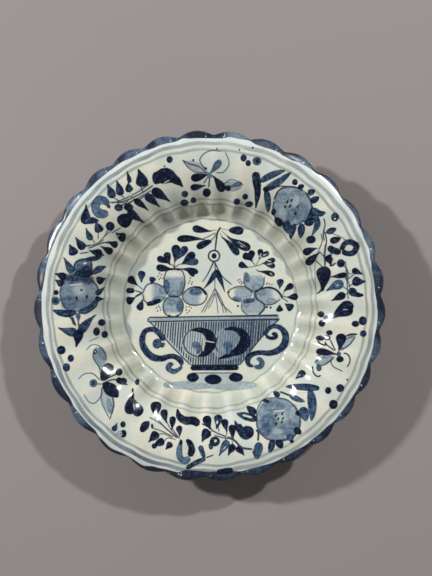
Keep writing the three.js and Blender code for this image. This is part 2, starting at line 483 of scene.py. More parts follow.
def turned(section, segments):
    # a closed ring from its section
    points, faces = [], []
    for r, z in section:
        for j in range(segments):
            a = 2 * math.pi * j / segments
            points.append((r * math.cos(a), r * math.sin(a), z))
    for i in range(len(section)):
        for j in range(segments):
            near, far = i * segments, (i + 1) % len(section) * segments
            following = (j + 1) % segments
            faces.append((near + j, far + j, far + following, near + following))
    return points, faces


clayLook = Look("foot_clay")
clayHeight = clayLook.add("ShaderNodeSeparateXYZ", {}, {0: clayLook.place}, "Z")
clayEdge = clayHeight + (clayLook.noise(140, 4.0) - 0.5) * footRing["wornUneven"]
clayBare = clayLook.ease(clayEdge, footRing["wornHigh"], footRing["wornLow"])
clayGrain = clayLook.noise(900, 5.0, 0.7)
clayBody = clayLook.blend(clayGrain, footRing["clay"], footRing["bare"])
clayStain = clayLook.ease(clayLook.noise(70, 4.0), 0.52, 0.72, 0.0, footRing["dirtShare"])
stainEdge = clayLook.ease(clayEdge, footRing["stainHigh"], footRing["stainLow"], 0.0, footRing["stainShare"])
clayRim = stainEdge * (1 - clayBare)
clayClouds = clayLook.blend(clayLook.noise(80), footRing["glazed"], footRing["glazedDim"])
clayGlazed = clayLook.blend(clayRim, clayClouds, footRing["stain"])
clayColour = clayLook.blend(clayBare, clayGlazed, clayLook.blend(clayStain, clayBody, footRing["stain"]))
clayBump = clayLook.add("ShaderNodeBump", {}, {
    "Strength": footRing["bump"], "Distance": footRing["bumpHeight"],
    "Height": clayGrain * clayBare + clayLook.noise(260) * 0.3})
clayMaterial = clayLook.finish({
    "Base Color": clayColour, "Roughness": footRing["roughness"] + clayBare * footRing["clayRoughness"],
    "Normal": clayBump, "IOR": glaze["refraction"]})

ringPoints, ringFaces = turned(footSection(), footRing["segments"])
ringPiece = meshPiece("turned_foot", ringPoints, ringFaces, [clayMaterial],
                      stands="foot_ring")
across = footRing["holeSegments"]
depth = footRing["seat"] * footRing["drillShare"]
away = footRing["radius"] - footRing["seat"] / 2
for side in (-1, 1):
    centre = side * footRing["holeSpacing"] / 2
    drillPoints = []
    for y in (away - depth / 2, away + depth / 2):
        for j in range(across):
            a = 2 * math.pi * j / across
            x = centre + footRing["holeRadius"] * math.cos(a)
            z = footRing["height"] / 2 + footRing["holeRadius"] * math.sin(a)
            drillPoints.append(Vector((x, y, z)) * mm)
    drillMesh = bpy.data.meshes.new("drill")
    walls = [(j, (j + 1) % across, across + (j + 1) % across, across + j) for j in range(across)]
    ends = [tuple(range(across))[::-1], tuple(range(across, 2 * across))]
    drillMesh.from_pydata(drillPoints, [], walls + ends)
    drill = placed("drill", drillMesh)
    bored = ringPiece.modifiers.new("bored", "BOOLEAN")
    bored.operation = "DIFFERENCE"
    bored.solver = "EXACT"
    bored.object = drill
    bpy.context.view_layer.update()
    shaped = ringPiece.evaluated_get(bpy.context.evaluated_depsgraph_get())
    ringPiece.data = bpy.data.meshes.new_from_object(shaped)
    ringPiece.modifiers.clear()
    bpy.data.objects.remove(drill)
ringPiece.data.set_sharp_from_angle(angle=math.radians(footRing["sharpAngle"]))
print("foot ring made:", len(ringPiece.data.polygons), "faces")


# Cobalt painting: thin sheets that follow the glaze

cobalt = {
    "stops": [
        (0.00, (204, 210, 203)), (0.16, (184, 194, 192)), (0.32, (145, 161, 170)), (0.46, (111, 131, 148)),
        (0.60, (76, 99, 124)), (0.74, (43, 65, 93)), (0.86, (14, 30, 60)), (1.00, (3, 8, 28)),
    ],
    # how dark the paint is; how much darker it gets where it pools, in streaks, along a stroke and at its
    # rim; and how ragged its edge is
    "load": 0.68, "pooling": 0.30, "streaks": 0.20, "flowing": 0.08, "rim": 0.10, "ragged": 0.35,
    # how far a mark's edge fades and how far its sheet runs on; washes, stains and rings fade over more
    "soft": 0.60, "margin": 0.75, "washSoft": 1.5, "stainSoft": 2.5, "stainShare": 0.5, "ringSoft": 1.3,
    # how high the first sheet lies and how much higher each next one; a stain takes the room of several
    "lift": 0.05, "layerLift": 0.0016, "stainLayers": 5, "seedStep": 3.7,
    # the spacing of the points in wide marks, in lines thinner than thinLine, and along bands, and how
    # much coarser it is round a blot and across a band
    "step": 1.15, "lineStep": 1.6, "thinLine": 2.2, "bandStep": 2.0, "borderStep": 0.8,
    "blotSpacing": 1.4, "bandSpacing": 1.3,
    # strokes paler than paleTone lie under the outlines; full and outlineWide widen what is written down
    "paleTone": 0.55, "full": 1.08, "outlineWide": 1.2, "capShare": 0.7, "highlightAndBareMargin": 0.3,
    # how much strokes bend, and how uneven the marks are
    "strokeBend": 0.05, "strokeUneven": 0.07, "lineUneven": 0.10, "blotUneven": 0.05,
}
inks = {
    # the share of a duller ink, that ink, and how well faint paint hides the glaze
    "cobalt_brush": (0.0, (62, 70, 84), 1.0), "cobalt_outline": (0.55, (62, 70, 84), 0.3),
    "cobalt_ring": (0.45, (142, 150, 146), 0.6), "cobalt_lip": (0.35, (56, 62, 74), 1.0),
}


def paintLook(name, dulling, dullInk, cover):
    # cobalt on the glaze, dark or pale as the sheet says at each place
    look = Look(name)
    skin, rough, height = glazeCoat(look)
    tone, edge, flow = look.carried("brush")
    along, across, seed = look.carried("grain")
    pool = look.ease(look.noise(330, 4.0, 0.6), 0.32, 0.68)
    bristle = look.add("ShaderNodeCombineXYZ", {}, {"X": along * 0.06, "Y": across * 1.05, "Z": seed})
    streak = look.add("ShaderNodeTexNoise", {}, {"Vector": bristle, "Scale": 1.0, "Detail": 2.0})
    load = cobalt["load"] + pool * cobalt["pooling"] + look.ease(streak, 0.3, 0.7) * cobalt["streaks"]
    load = load + flow * cobalt["flowing"]
    rim = look.ease(edge, 1.3, 0.2, 0.0, cobalt["rim"]) * look.ease(flow, 0.0, 0.08)
    strength = tone * (load + rim)
    ink = look.add("ShaderNodeValToRGB", {"stops": cobalt["stops"]}, {"Fac": strength})
    inked = look.blend(dulling, ink, dullInk)
    ragged = edge + (look.noise(900, 2.0) - 0.5) * cobalt["ragged"]
    hidden = look.ease(ragged, -cobalt["soft"], cobalt["soft"]) * look.ease(tone, 0.0, 0.9, cover, 1.0)
    painted = look.blend(look.ease(tone, 0.0, 0.1), skin, inked)
    return glazeFinish(look, painted, rough, height, hidden)


inkLooks = [paintLook(name, *ink) for name, ink in inks.items()]
brushInk, outlineInk, ringInk, lipInk = range(len(inks))


def smoothPath(points, step):
    # a curve through given points: positions every step, with the share of the way along
    spots = [Vector(p) for p in points]
    if len(spots) == 2:
        count = max(2, math.ceil((spots[1] - spots[0]).length / step))
        return [(spots[0].lerp(spots[1], i / count), i / count) for i in range(count + 1)]
    padded = [spots[0] * 2 - spots[1]] + spots + [spots[-1] * 2 - spots[-2]]
    if (spots[0] - spots[-1]).length < 1e-6:
        padded = [spots[-2]] + spots + [spots[1]]
    made = []
    for i in range(len(spots) - 1):
        a, b, c, d = padded[i:i + 4]
        count = max(2, math.ceil((c - b).length / step))
        for k in range(count):
            t = k / count
            place = 0.5 * (2 * b + (c - a) * t + (2 * a - 5 * b + 4 * c - d) * t ** 2
                           + (3 * b - a - 3 * c + d) * t ** 3)
            made.append((place, (i + t) / (len(spots) - 1)))
    return made + [(spots[-1], 1.0)]


def spread(values, t):
    # a value between the listed ones
    if len(values) == 1:
        return values[0]
    at = min(t, 0.9999) * (len(values) - 1)
    low = int(at)
    part = eased(at - low)
    return values[low] * (1 - part) + values[low + 1] * part


strokeShapes = {
    # how the width of a stroke grows and fades from its tail to its head, how wide its tail is, how far
    # the tail runs past the first point, and the head past the second, as shares of its length and width
    "drop": (1.45, 0.50, 0.22, 0.14, 0.36), "petal": (0.70, 0.45, 0.15, 0.08, 0.12),
    "leaf": (0.8, 0.8, 0.0, 0.08, 0.0), "bar": (0.22, 0.22, 0.0, 0.0, 0.0),
    "tongue": (0.55, 0.32, 0.0, 0.10, 0.2),
}
# how the marks, which are written down flat, sit on the dish: a scale, and a shift in millimetres that is
# one amount in the well and another on the rim
seat = {
    "scale": 0.984, "wellShift": (0.1, -1.4), "rimShift": (0.9, -0.7),
    "wellRadius": 80.0, "rimRadius": 112.0,
}


def seated(x, y):
    # where a mark written down at x, y lies on the dish
    part = (math.hypot(x, y) - seat["wellRadius"]) / (seat["rimRadius"] - seat["wellRadius"])
    shift = Vector(seat["wellShift"]).lerp(Vector(seat["rimShift"]), max(0.0, min(1.0, part)))
    return Vector((x, y)) * seat["scale"] + shift


class Painting:
    # painted marks gathered into one thin piece
    def __init__(self, name):
        self.name = name
        self.points, self.normals, self.faces, self.kinds = [], [], [], []
        self.brush, self.grain, self.press = [], [], []
        self.layers = 0
        self.soft = 1.0
        self.isSeated = True

    def sheet(self, grid, ink):
        # grid: rows of (x, y, tone, edge, flow, along, across)
        self.layers += 1
        lift = cobalt["lift"] + self.layers * cobalt["layerLift"]
        start, width = len(self.points), len(grid[0])
        for row in grid:
            for x, y, tone, edge, flow, along, across in row:
                hit, normal, press = dishAt(*(seated(x, y) if self.isSeated else (x, y)))
                self.points.append(hit + normal * lift)
                self.normals.append(normal)
                self.press.append(press)
                self.brush.append((tone, edge, flow))
                self.grain.append((along, across, self.layers * cobalt["seedStep"]))
        for i in range(len(grid) - 1):
            for j in range(width - 1):
                low, high = start + i * width + j, start + (i + 1) * width + j
                across = self.points[low + 1] - self.points[low]
                up = self.points[high + 1] - self.points[low]
                upright = across.xy.cross(up.xy) > 0
                corners = (low, low + 1, high + 1, high)
                self.faces.append(corners if upright else corners[::-1])
                self.kinds.append(ink)

    def ribbon(self, centres, tone, ink=brushInk, margin=None, closed=False):
        # centres: rows of (place, half width, flow); the sheet runs a little past its painted border
        margin = cobalt["margin"] * self.soft if margin is None else margin
        widest = max(half for _, half, _ in centres)
        columns = max(2, math.ceil(2 * (widest + margin) / cobalt["step"]))
        columns += columns % 2
        grid, along = [], 0.0
        last = len(centres) - 1
        for i, (place, half, flow) in enumerate(centres):
            before, after = centres[max(0, i - 1)][0], centres[min(last, i + 1)][0]
            if closed and i in (0, last):
                before, after = centres[last - 1][0], centres[1][0]
            run = (after - before).normalized()
            sideways = Vector((-run.y, run.x))
            if i:
                along += (place - centres[i - 1][0]).length
            row = []
            toneHere = tone(flow) if callable(tone) else tone
            for j in range(columns + 1):
                across = (2 * j / columns - 1) * (half + margin)
                spot = place + sideways * across
                edge = (half - abs(across)) / self.soft
                row.append((spot.x, spot.y, toneHere, edge, flow, along, across))
            grid.append(row)
        if not closed:
            for end, step in ((0, -1), (-1, 1)):
                inner = grid[end]
                toward = (centres[end][0] - centres[end - step][0]).normalized()
                toward *= margin * cobalt["capShare"]
                cap = [(x + toward.x, y + toward.y, t, edge - margin, f, a + step * margin, c)
                       for x, y, t, edge, f, a, c in inner]
                grid = [cap] + grid if step < 0 else grid + [cap]
        self.sheet(grid, ink)

    def stroke(self, kind, x1, y1, x2, y2, wide, tone, bend=None):
        # one press of the brush, from its tail to its head
        tail, head = Vector((x1, y1)), Vector((x2, y2))
        rise, fall, trail, reach, over = strokeShapes[kind]
        tail += (tail - head) * reach
        head += (head - tail).normalized() * over * wide
        run = head - tail
        length = run.length
        sideways = Vector((-run.y, run.x)).normalized()
        if bend is None:
            bend = cobalt["strokeBend"] * length * math.sin(x1 * 1.7 + y2 * 0.9)
        peak = rise / (rise + fall)
        top = peak ** rise * (1 - peak) ** fall
        steps = max(6, math.ceil(length / cobalt["step"]) + 2)
        centres = []
        for i in range(steps + 1):
            u = 0.5 - 0.5 * math.cos(math.pi * i / steps)
            share = u ** rise * (1 - u) ** fall / top if 0 < u < 1 else 0.0
            half = cobalt["full"] * wide / 2 * (max(share, trail * min(1, 9 * u)) if u < peak else share)
            half *= 1 + cobalt["strokeUneven"] * noise.noise(Vector((x1 + u * 4, y1, 0)))
            place = tail + run * u + sideways * bend * 4 * u * (1 - u)
            centres.append((place, half, u))
        self.ribbon(centres, tone)

    def sweep(self, points, widths, tone, ink=brushInk, margin=None):
        # a longer stroke through several places, rounded at both ends
        thin = max(widths) < cobalt["thinLine"]
        path = smoothPath(points, cobalt["lineStep"] if thin else cobalt["step"])
        closed = (path[0][0] - path[-1][0]).length < 1e-6
        lengths = [0.0]
        for (a, _), (b, _) in zip(path, path[1:]):
            lengths.append(lengths[-1] + (b - a).length)
        whole = lengths[-1]
        centres = []
        for (place, t), at in zip(path, lengths):
            half = spread(widths, t) / 2
            half *= 1 + cobalt["lineUneven"] * noise.noise(Vector((place.x * 0.4, place.y * 0.4, 3.0)))
            left = min(at, whole - at)
            if not closed and left < half:
                half = math.sqrt(max(0.0, half * half - (half - left) ** 2))
            centres.append((place, half, at / whole))
        self.ribbon(centres, tone, ink, margin, closed)

    def blot(self, x, y, wide, tall, tone, turn=0.0, fade=None):
        # a round or oval patch; fade is a direction in which the tone thins to nothing, and from where to
        # where; without flow, as in a stain, it has no darker border
        turned = math.radians(turn)
        flow = 0.0 if self.soft >= cobalt["stainSoft"] else 0.5
        rings = max(3, math.ceil(max(wide, tall) / 2 / cobalt["step"]))
        skirt = cobalt["margin"] * self.soft
        skirtRings = max(1, math.ceil(skirt / cobalt["step"]))
        turnLength = math.pi * (max(wide, tall) + skirt)
        slices = max(14, math.ceil(turnLength / cobalt["step"] / cobalt["blotSpacing"]))
        grid = []
        for i in range(rings + 1 + skirtRings):
            row = []
            for j in range(slices + 1):
                a = 2 * math.pi * j / slices
                uneven = noise.noise(Vector((x + 2 * math.cos(a), y + 2 * math.sin(a), 1.0)))
                reach = Vector((wide / 2 * math.cos(a), tall / 2 * math.sin(a)))
                reach *= 1 + cobalt["blotUneven"] * uneven
                full = reach.length
                radius = full * i / rings if i <= rings else full + skirt * (i - rings) / skirtRings
                spot = reach.normalized() * radius
                here = tone
                if fade:
                    heading = math.radians(fade[0]) - turned
                    lean = (spot.x * math.cos(heading) + spot.y * math.sin(heading)) / (max(wide, tall) / 2)
                    here = tone * (1 - eased(max(0.0, min(1.0, (lean - fade[1]) / (fade[2] - fade[1])))))
                px = x + spot.x * math.cos(turned) - spot.y * math.sin(turned)
                py = y + spot.x * math.sin(turned) + spot.y * math.cos(turned)
                row.append((px, py, here, (full - radius) / self.soft, flow, spot.x, spot.y))
            grid.append(row)
        self.sheet(grid, brushInk)

    def band(self, first, second, tones):
        # a filled patch between two borders
        count = max(len(smoothPath(border, cobalt["bandStep"])) for border in (first, second))
        ones, twos = smoothPoints(first, count), smoothPoints(second, count)
        widest = max((a - b).length for a, b in zip(ones, twos))
        columns = max(3, math.ceil(widest / cobalt["step"] / cobalt["bandSpacing"]))
        grid = []
        for i, (a, b) in enumerate(zip(ones, twos)):
            row = []
            for j in range(columns + 1):
                u = j / columns
                spot = a.lerp(b, u)
                edge = min(u, 1 - u) * (a - b).length
                row.append((spot.x, spot.y, spread(tones, u), edge, u, i * cobalt["bandStep"], u * widest))
            grid.append(row)
        self.sheet(grid, brushInk)

    def finish(self):
        carried = {"brush": self.brush, "grain": self.grain, "press": self.press}
        piece = meshPiece(self.name, self.points, self.faces, inkLooks, self.normals, carried)
        piece.data.polygons.foreach_set("material_index", self.kinds)
        print(self.name, "painted:", len(self.faces), "faces")


def smoothPoints(points, count):
    # so many places along a border, whatever its length
    fine = smoothPath(points, cobalt["borderStep"])
    return [fine[round(i * (len(fine) - 1) / (count - 1))][0] for i in range(count)]


def paint(motif):
    # every mark of one motif: washes, stains and pale strokes first, then thin lines, then the full strokes
    painting = Painting(motif["name"])
    painting.soft = cobalt["washSoft"]
    for mark in motif.get("washes", []):
        painting.blot(*mark[:6], fade=mark[6:])
    for mark in motif.get("stains", []):
        painting.soft = max(cobalt["stainSoft"], cobalt["stainShare"] * min(mark[2], mark[3]))
        painting.layers += cobalt["stainLayers"]
        painting.blot(*mark)
    painting.soft = 1.0
    for first, second, tones in motif.get("bands", []):
        painting.band(first, second, tones)
    strokes = [(kind, *mark) for kind in strokeShapes for mark in motif.get(kind + "s", [])]
    for stroke in strokes:
        if stroke[6] < cobalt["paleTone"]:
            painting.stroke(*stroke)
    for points, widths, tone in motif.get("outlines", []):
        painting.sweep(points, [cobalt["outlineWide"] * wide for wide in widths], tone, outlineInk)
    for stroke in strokes:
        if stroke[6] >= cobalt["paleTone"]:
            painting.stroke(*stroke)
    for points, widths, tone in motif.get("sweeps", []):
        painting.sweep(points, widths, tone)
    for mark in motif.get("blots", []):
        painting.blot(*mark)
    # glaze-coloured marks over the ink: bare and worn spots, and painted highlights on the marks
    for points, wide in motif.get("highlightsAndBareSpots", []):
        painting.sweep(points, [wide], 0.0, margin=cobalt["highlightAndBareMargin"])
    painting.finish()


stem = {
    "name": "paint_stem",
    "tongues": [(0.5, 66, -12, 60, 6.5, .93), (20, 77, 32, 76, 7.5, .9)],
    "drops": [
        (0, 76.8, -15.5, 79.5, 6.5, .93), (-8, 68, -31, 68.3, 6.5, .97), (19, 70.5, 38, 60.5, 8.5, .9),
        (13, 69, 27, 54, 6.5, .88), (-5.5, 20, 6, 36, 5, .88), (13.8, 17.3, 6, 36, 5, .88)],
    "sweeps": [([(11, 80), (10, 79.5), (7.5, 75), (6.3, 68), (5.5, 60), (5, 56.5)], [1.6, 1.5, .9], .95)],
    "blots": [(4, 51.5, 5, 5.4, .97)],
    "outlines": [
        ([(-1.6, 51.5), (0, 55.4), (4, 57), (8, 55.4), (9.6, 51.5), (8, 47.6), (4, 46), (0, 47.6),
          (-1.6, 51.5)], [1.2], .85), ([(4, 46.5), (1, 40), (-3, 32), (-8, 25)], [1.2, .6], .85),
        ([(4.5, 46), (8, 38), (13, 30), (22, 22.5)], [1.1, .8], .7), ([(4.8, 46), (5.3, 36)], [.8], .6),
        ([(5, 19), (0, 9), (-9, -6)], [.7], .6), ([(5, 15), (-1, 4), (-6, -6)], [.6], .55),
        ([(5, 14), (2, 5), (-2, -2)], [.6], .55), ([(5, 14), (7, 4), (8, -7)], [.6], .55),
        ([(5, 19), (11, 8), (17, -6)], [.7], .6), ([(6, 14), (12, 3), (22, -6.5)], [.7], .6),
        ([(6, 16), (11, 4), (14, -6.5)], [.6], .55), ([(5, 34), (4.8, 26), (5, 14)], [.6], .55),
        ([(0, 77), (7, 77.5)], [.6], .5), ([(-8, 68), (0, 72), (6, 75)], [.8], .55),
        ([(0, 66.5), (4, 70), (6, 74)], [.8], .55), ([(10, 79), (20, 77.5)], [.6], .35),
        ([(11, 77), (19, 70.5)], [.7], .4), ([(10, 75), (13, 69)], [.7], .4)],
    "highlightsAndBareSpots": [([(30, 62), (34, 60)], .6), ([(28, 66), (36, 61)], .5)],
}
leftFlower = {
    "name": "paint_flower_left",
    "washes": [
        (-36, 23, 20, 26, .36, 0, 90, .4, .75), (-55.5, 13.5, 23, 19, .34, -12, 180, -.05, .5),
        (-16, 11, 23, 18, .30, 0, -10, .25, .8), (-37.3, 0.5, 19.5, 20, .34, 0, -90, .45, .85)],
    "stains": [
        (-43.5, 21, 5, 13, .66, 8), (-28.5, 19, 4, 13, .5, -6), (-36, 14, 9, 6, .42),
        (-14.5, 15.5, 12, 7, .66), (-31, 1, 5.5, 11, .62), (-52, 8, 12, 5, .5, 12), (-48, 17, 6, 7, .44),
        (-39, 5, 8, 6, .44)],
    "blots": [(-41, -8.8, 2, 2, .9), (-33, -9, 2, 2, .9)],
    "bars": [(-64, 2.8, -50, 7.2, 4.5, .95)],
    "drops": [
        (-38, 38, -52, 40, 6.5, .95), (-41, 43.5, -51.5, 48.5, 6, .95), (-41, 43.5, -43.5, 53, 6.5, .93),
        (-35.5, 47, -34.5, 60, 8, .88), (-35, 47, -25, 59, 7, .8), (-27.5, 44, -17.5, 52.5, 7.5, .9),
        (-27.5, 43.5, -14, 45.5, 6.5, .74), (-28.5, 38, -14, 35, 5.5, .93), (-24, 37, -17, 32, 4, .9),
        (-74, 22.5, -80.5, 28, 7.5, .98), (-69, 25.5, -68.5, 34, 7, .78), (-59, 23.5, -58, 28, 6.5, .85),
        (-76, 9.5, -82, 6.5, 7.5, .97), (-68.5, 7, -71.5, -1, 6.5, .9)],
    "sweeps": [
        ([(-76, 16.5), (-85, 16.5)], [4.8, 5.5], .97), ([(-68, 14.5), (-76, 10)], [1.6], .95),
        ([(-18, 20.3), (-10, 19.5), (-5.5, 14.5), (-4, 12)], [1, 1.8, 1.8, 1.8], .95),
        ([(-44, 37), (-38, 38.5), (-30, 37)], [1.4], .93)],
    "outlines": [
        ([(-46.5, 24), (-44, 36), (-36, 38.3), (-28, 36), (-25.4, 24), (-29, 13), (-36, 9.8), (-43, 13),
          (-46.5, 24)], [.9], .75), ([(-68, 13.5), (-64, 22), (-56, 24), (-46.5, 20)], [.9], .75),
        ([(-68, 13.5), (-66, 6), (-60, 2.5)], [.9], .75),
        ([(-28, 11), (-23, 17.5), (-15.5, 20.3), (-6, 17), (-3, 11), (-7, 4), (-15, 1.6), (-24, 4),
          (-28, 11)], [.8], .75),
        ([(-47.5, 1), (-44, 8.5), (-37, 11), (-30, 8.5), (-27, 1), (-30, -7), (-37.5, -9.8), (-45, -7),
          (-47.5, 1)], [.9], .75), ([(-68, 14.5), (-76, 16.5)], [.9], .7),
        ([(-67, 17), (-74, 22.5)], [.8], .5), ([(-41, 43.5), (-37.5, 42), (-36, 39)], [.8], .6),
        ([(-35.7, 47), (-36, 39)], [.8], .55), ([(-27.5, 44), (-33, 42), (-36, 39)], [.8], .55),
        ([(-28.5, 38), (-34, 39.5)], [.8], .6)],
    "ticks": [
        (-51, 34), (-49, 32.5), (-52.5, 31), (-50, 29.5), (-47.5, 29), (-51, 28), (-20, 29), (-18, 25),
        (-20.5, 26), (-22, 24), (-18.5, 23), (-54, -1), (-52, 1), (-50.5, -.5), (-53, -4), (-50, -3),
        (-24, 0), (-21, .5), (-19, -1), (-24, -3), (-21, -4), (-23, -6)],
}
rightFlower = {
    "name": "paint_flower_right",
    "washes": [
        (44.5, 25, 20, 20, .32, 0, 90, .45, .9), (30, 12.5, 24, 15, .32, 0, 180, .2, .65),
        (57, 11, 26, 17, .32, 0, 0, .2, .75), (43, -1, 21, 17, .30, 0, -90, .35, .9)],
    "stains": [
        (37, 30, 5, 10, .62, 12), (47, 20, 8, 6, .4), (27, 8, 9, 4, .56, -10), (52, 15, 9, 6, .46),
        (62, 6, 10, 5, .38), (36, 2, 7, 5, .4)],
    "blots": [(28, 1, 2, 2, .9), (57, 0, 2.4, 2.2, .95), (61, -.5, 2, 2, .95), (18.5, 14.8, 2.6, 1.6, .95)],
    "bars": [(33, 5.5, 45, 7.2, 4, .7)],
    "drops": [
        (38, 40, 31, 43, 6, .98), (42, 46.5, 35, 51.5, 6.5, .98), (42, 46.5, 42.5, 55, 6, .95),
        (50, 49, 50.5, 56.5, 5.5, .9), (50, 49, 58, 54, 5, .8), (54, 44, 64, 47, 5, .85),
        (54, 44, 64, 41.5, 5, .8), (50, 35.5, 63.5, 32.5, 5, .9), (70, 19, 70.5, 26, 6.5, .8),
        (75, 16, 82, 21, 6, .88), (78, 10, 86, 10.5, 6.5, .97), (76, 3, 81, -.5, 7.5, .9),
        (70.5, 2, 70.5, -2.5, 6.5, .93)],
    "sweeps": [
        ([(46, 15), (52, 18.5), (60, 19.7), (67, 17), (71.5, 12), (72.5, 8)], [.9, 1.4, 1.8, 1.8, 1.8, 1.2],
         .95)],
    "outlines": [
        ([(34, 30), (35, 22), (40, 17.5), (45, 16)], [.8], .6),
        ([(54.8, 31), (54, 23), (50, 18), (45, 16)], [.8], .6),
        ([(44, 13), (38, 19), (30, 21), (21, 18), (18, 14), (22, 8), (30, 5.5)], [.8], .7),
        ([(46, 15), (48, 8), (56, 2.5), (64, 3), (71, 8)], [.8], .7),
        ([(32, 6), (32, -3), (38, -8)], [.7], .6), ([(54, 4), (54.5, -2), (49, -8)], [1.3], .85),
        ([(45, 16), (46, 9), (54, 4)], [.9], .8), ([(46, 41), (42, 46.5)], [.8], .5),
        ([(46, 41), (38, 40)], [.7], .4), ([(46, 41), (50, 49)], [.7], .4),
        ([(46, 41), (54, 44)], [.8], .45), ([(46, 38), (50, 35.5)], [.8], .6),
        ([(72, 11), (78, 10)], [.8], .5), ([(72, 10), (76, 7), (79, 5)], [.8], .6),
        ([(73, 11), (75, 16)], [.7], .4)],
    "ticks": [
        (28, 27), (30, 28), (31.5, 26), (33, 24.5), (29.5, 25), (31.5, 23.5), (58, 24), (60, 23),
        (62.5, 22.5), (56.5, 23)],
    # painted highlights on the petals
    "highlightsAndBareSpots": [
        ([(52, 54), (50, 51), (53, 50)], .8), ([(57, 53), (53, 52)], .9), ([(57, 47), (62, 45.5)], .9),
        ([(57, 43), (63, 43.5)], .8), ([(60, 34.5), (63, 32)], .6)],
}


prick = {"left": 0.6, "right": 0.5, "half": 0.9, "lean": 0.21, "widths": [.7, 1.3], "tone": .95}


def ticked(motif):
    # a flower with the little pricks of the brush beside it
    pricks = []
    for i, (x, y) in enumerate(motif["ticks"]):
        right = x + prick["right"] + prick["lean"] * math.sin(i * 2.3)
        ends = [(x - prick["left"], y - prick["half"]), (right, y + prick["half"])]
        pricks.append((ends, prick["widths"], prick["tone"]))
    return dict(motif, sweeps=motif["sweeps"] + pricks)


bowl = {
    "name": "paint_bowl",
    "bands": [
        ([(-62, -10.5), (0, -9.6), (69, -8.5)], [(-63, -15), (0, -13.6), (70, -12.5)], [.28, .32]),
        ([(-61, -15), (-55, -21), (-40, -38), (-20, -58.5)], [(-2, -14), (0, -21), (2, -38), (2, -58.5)],
         [.16, .22]),
        ([(-2, -14), (0, -21), (2, -38), (2, -58.5)], [(70, -12.5), (60, -21), (45, -39), (30, -58.5)],
         [.30, .40, .36]),
        ([(-15, -67), (-14, -72), (-15, -77)], [(25, -67), (26, -72), (25, -77)], [.16, .2])],
    "washes": [(-11, -35.5, 31, 28, .2), (21, -37, 28, 30, .3, 0, 180, -.2, 1.3)],
    "stains": [
        (-20, -79, 52, 8, .28), (21, -79, 50, 9, .28), (-43, -78.5, 8, 5, .34), (20, -42, 11, 12, .5)],
    "blots": [
        (-17.5, -71, 12, 9, .95), (3, -73, 17, 10, .97), (26, -71, 14, 9, .95), (-53.5, -37, 9, 10, .72)],
    "sweeps": [
        ([(-19, -23.5), (-9, -23.5), (-1, -28), (1, -36), (-4, -45), (-12, -50)], [1.5, 5, 9, 11, 8, 1.5],
         .99), ([(-19, -38), (-14, -38.5), (-11.5, -42), (-13, -47)], [4, 7, 6, 3], .62),
        ([(14, -22.5), (24, -22), (33, -27), (35, -35), (30, -43), (20, -48), (8, -52.5)],
         [2, 4, 8, 11, 10, 5, 1.5], .99), ([(13, -39), (19, -39), (18, -48)], [4, 7, 4], .64),
        ([(-46, -34), (-52, -26), (-58, -22.5), (-66, -25), (-68.5, -35), (-65, -44), (-58, -50.5),
          (-49, -52), (-42, -50), (-36, -50), (-30, -54), (-28.5, -59)],
          [6, 5.5, 5, 5, 6, 7, 7, 6, 5, 5, 5.5, 4], .82), ([(-46, -36), (-50, -40.5)], [3, 5], .72),
        ([(-28.5, -59), (-31, -62.5), (-37, -65), (-42, -62), (-40.5, -58), (-37, -58.5)],
         [3, 3.5, 5, 5.5, 5, 3], .68),
        ([(55, -29), (58, -23), (64, -19.5), (71, -21), (76, -28), (75, -37), (69, -43.5), (60, -46.5),
          (50, -46), (42, -48), (38, -53), (39, -58), (44, -60)],
          [4, 4, 4, 5, 6.5, 7, 6.5, 5.5, 4.5, 5, 5.5, 4, 2.5], .82),
        ([(56, -29), (61, -31.5), (66, -30.5), (66, -27.5), (62, -27)], [3, 3.5, 4, 4, 3], .93),
        ([(44, -60), (50, -60.5), (52.5, -56.5), (49.5, -52.5), (47, -53.5)], [3, 5, 5, 4, 3], .64),
        ([(-20, -61.5), (29, -61.3)], [5], .95), ([(-20, -58.5), (30, -58.5)], [1], .9)],
    "outlines": [
        ([(-62, -10.5), (0, -9.6), (69, -8.5)], [1, 1, 1.6], .85),
        ([(-63, -15), (0, -13.6), (70, -12.5)], [.9, .9, 1.5], .85), ([(-62, -10.5), (-63, -15)], [1], .8),
        ([(-61, -15), (-55, -21), (-40, -38), (-20, -58.5)], [.9], .8),
        ([(70, -12.5), (60, -21), (45, -39), (30, -58.5)], [.9], .8),
        ([(-27, -35.5), (-22, -25), (-11, -21), (0, -25), (5, -35.5), (0, -46), (-11, -50), (-22, -46),
          (-27, -35.5)], [.9], .75), ([(8, -30), (5, -38), (8, -45)], [.9], .75),
        ([(-18, -66.5), (27, -66.5)], [.8], .6)],
    "highlightsAndBareSpots": [([(-9, -27), (-6, -34), (-7, -45)], 1.0), ([(-6, -34), (5, -36)], .9)],
}
hatching = {
    # the lines: the first and the last x, their spacing, how they lean, their width and tone, the x of
    # the bold ones, and the width and tone of the faint ones in the roundels
    "first": -57.0, "last": 62.0, "step": 2.6, "uneven": 0.12, "lean": 0.08, "wide": 0.95, "tone": 0.8,
    "bold": (-3, 25, 41, 49), "boldShare": 1.5, "fine": 0.6, "faint": 0.46, "shortest": 2, "clear": 1,
    # the wall they stand on: its top and how that slopes, its foot, and each side's top corner and slope
    "top": -14.2, "topSlope": 0.015, "foot": -58.3,
    "left": (-61, -15), "leftSlope": 0.945, "right": (70, -12.5), "rightSlope": 0.875,
    # centre, half width and half height of the roundels
    "roundels": ((-11, -35.5, 16, 14.5), (21, -37, 17, 16.5)),
}


def hatchLine(x, top, high, deep, wide, tone):
    # the part between two heights of the leaning line that starts at x, top
    ends = [(x + hatching["lean"] * (y - top), y) for y in (high, deep)]
    return ends, [wide], tone


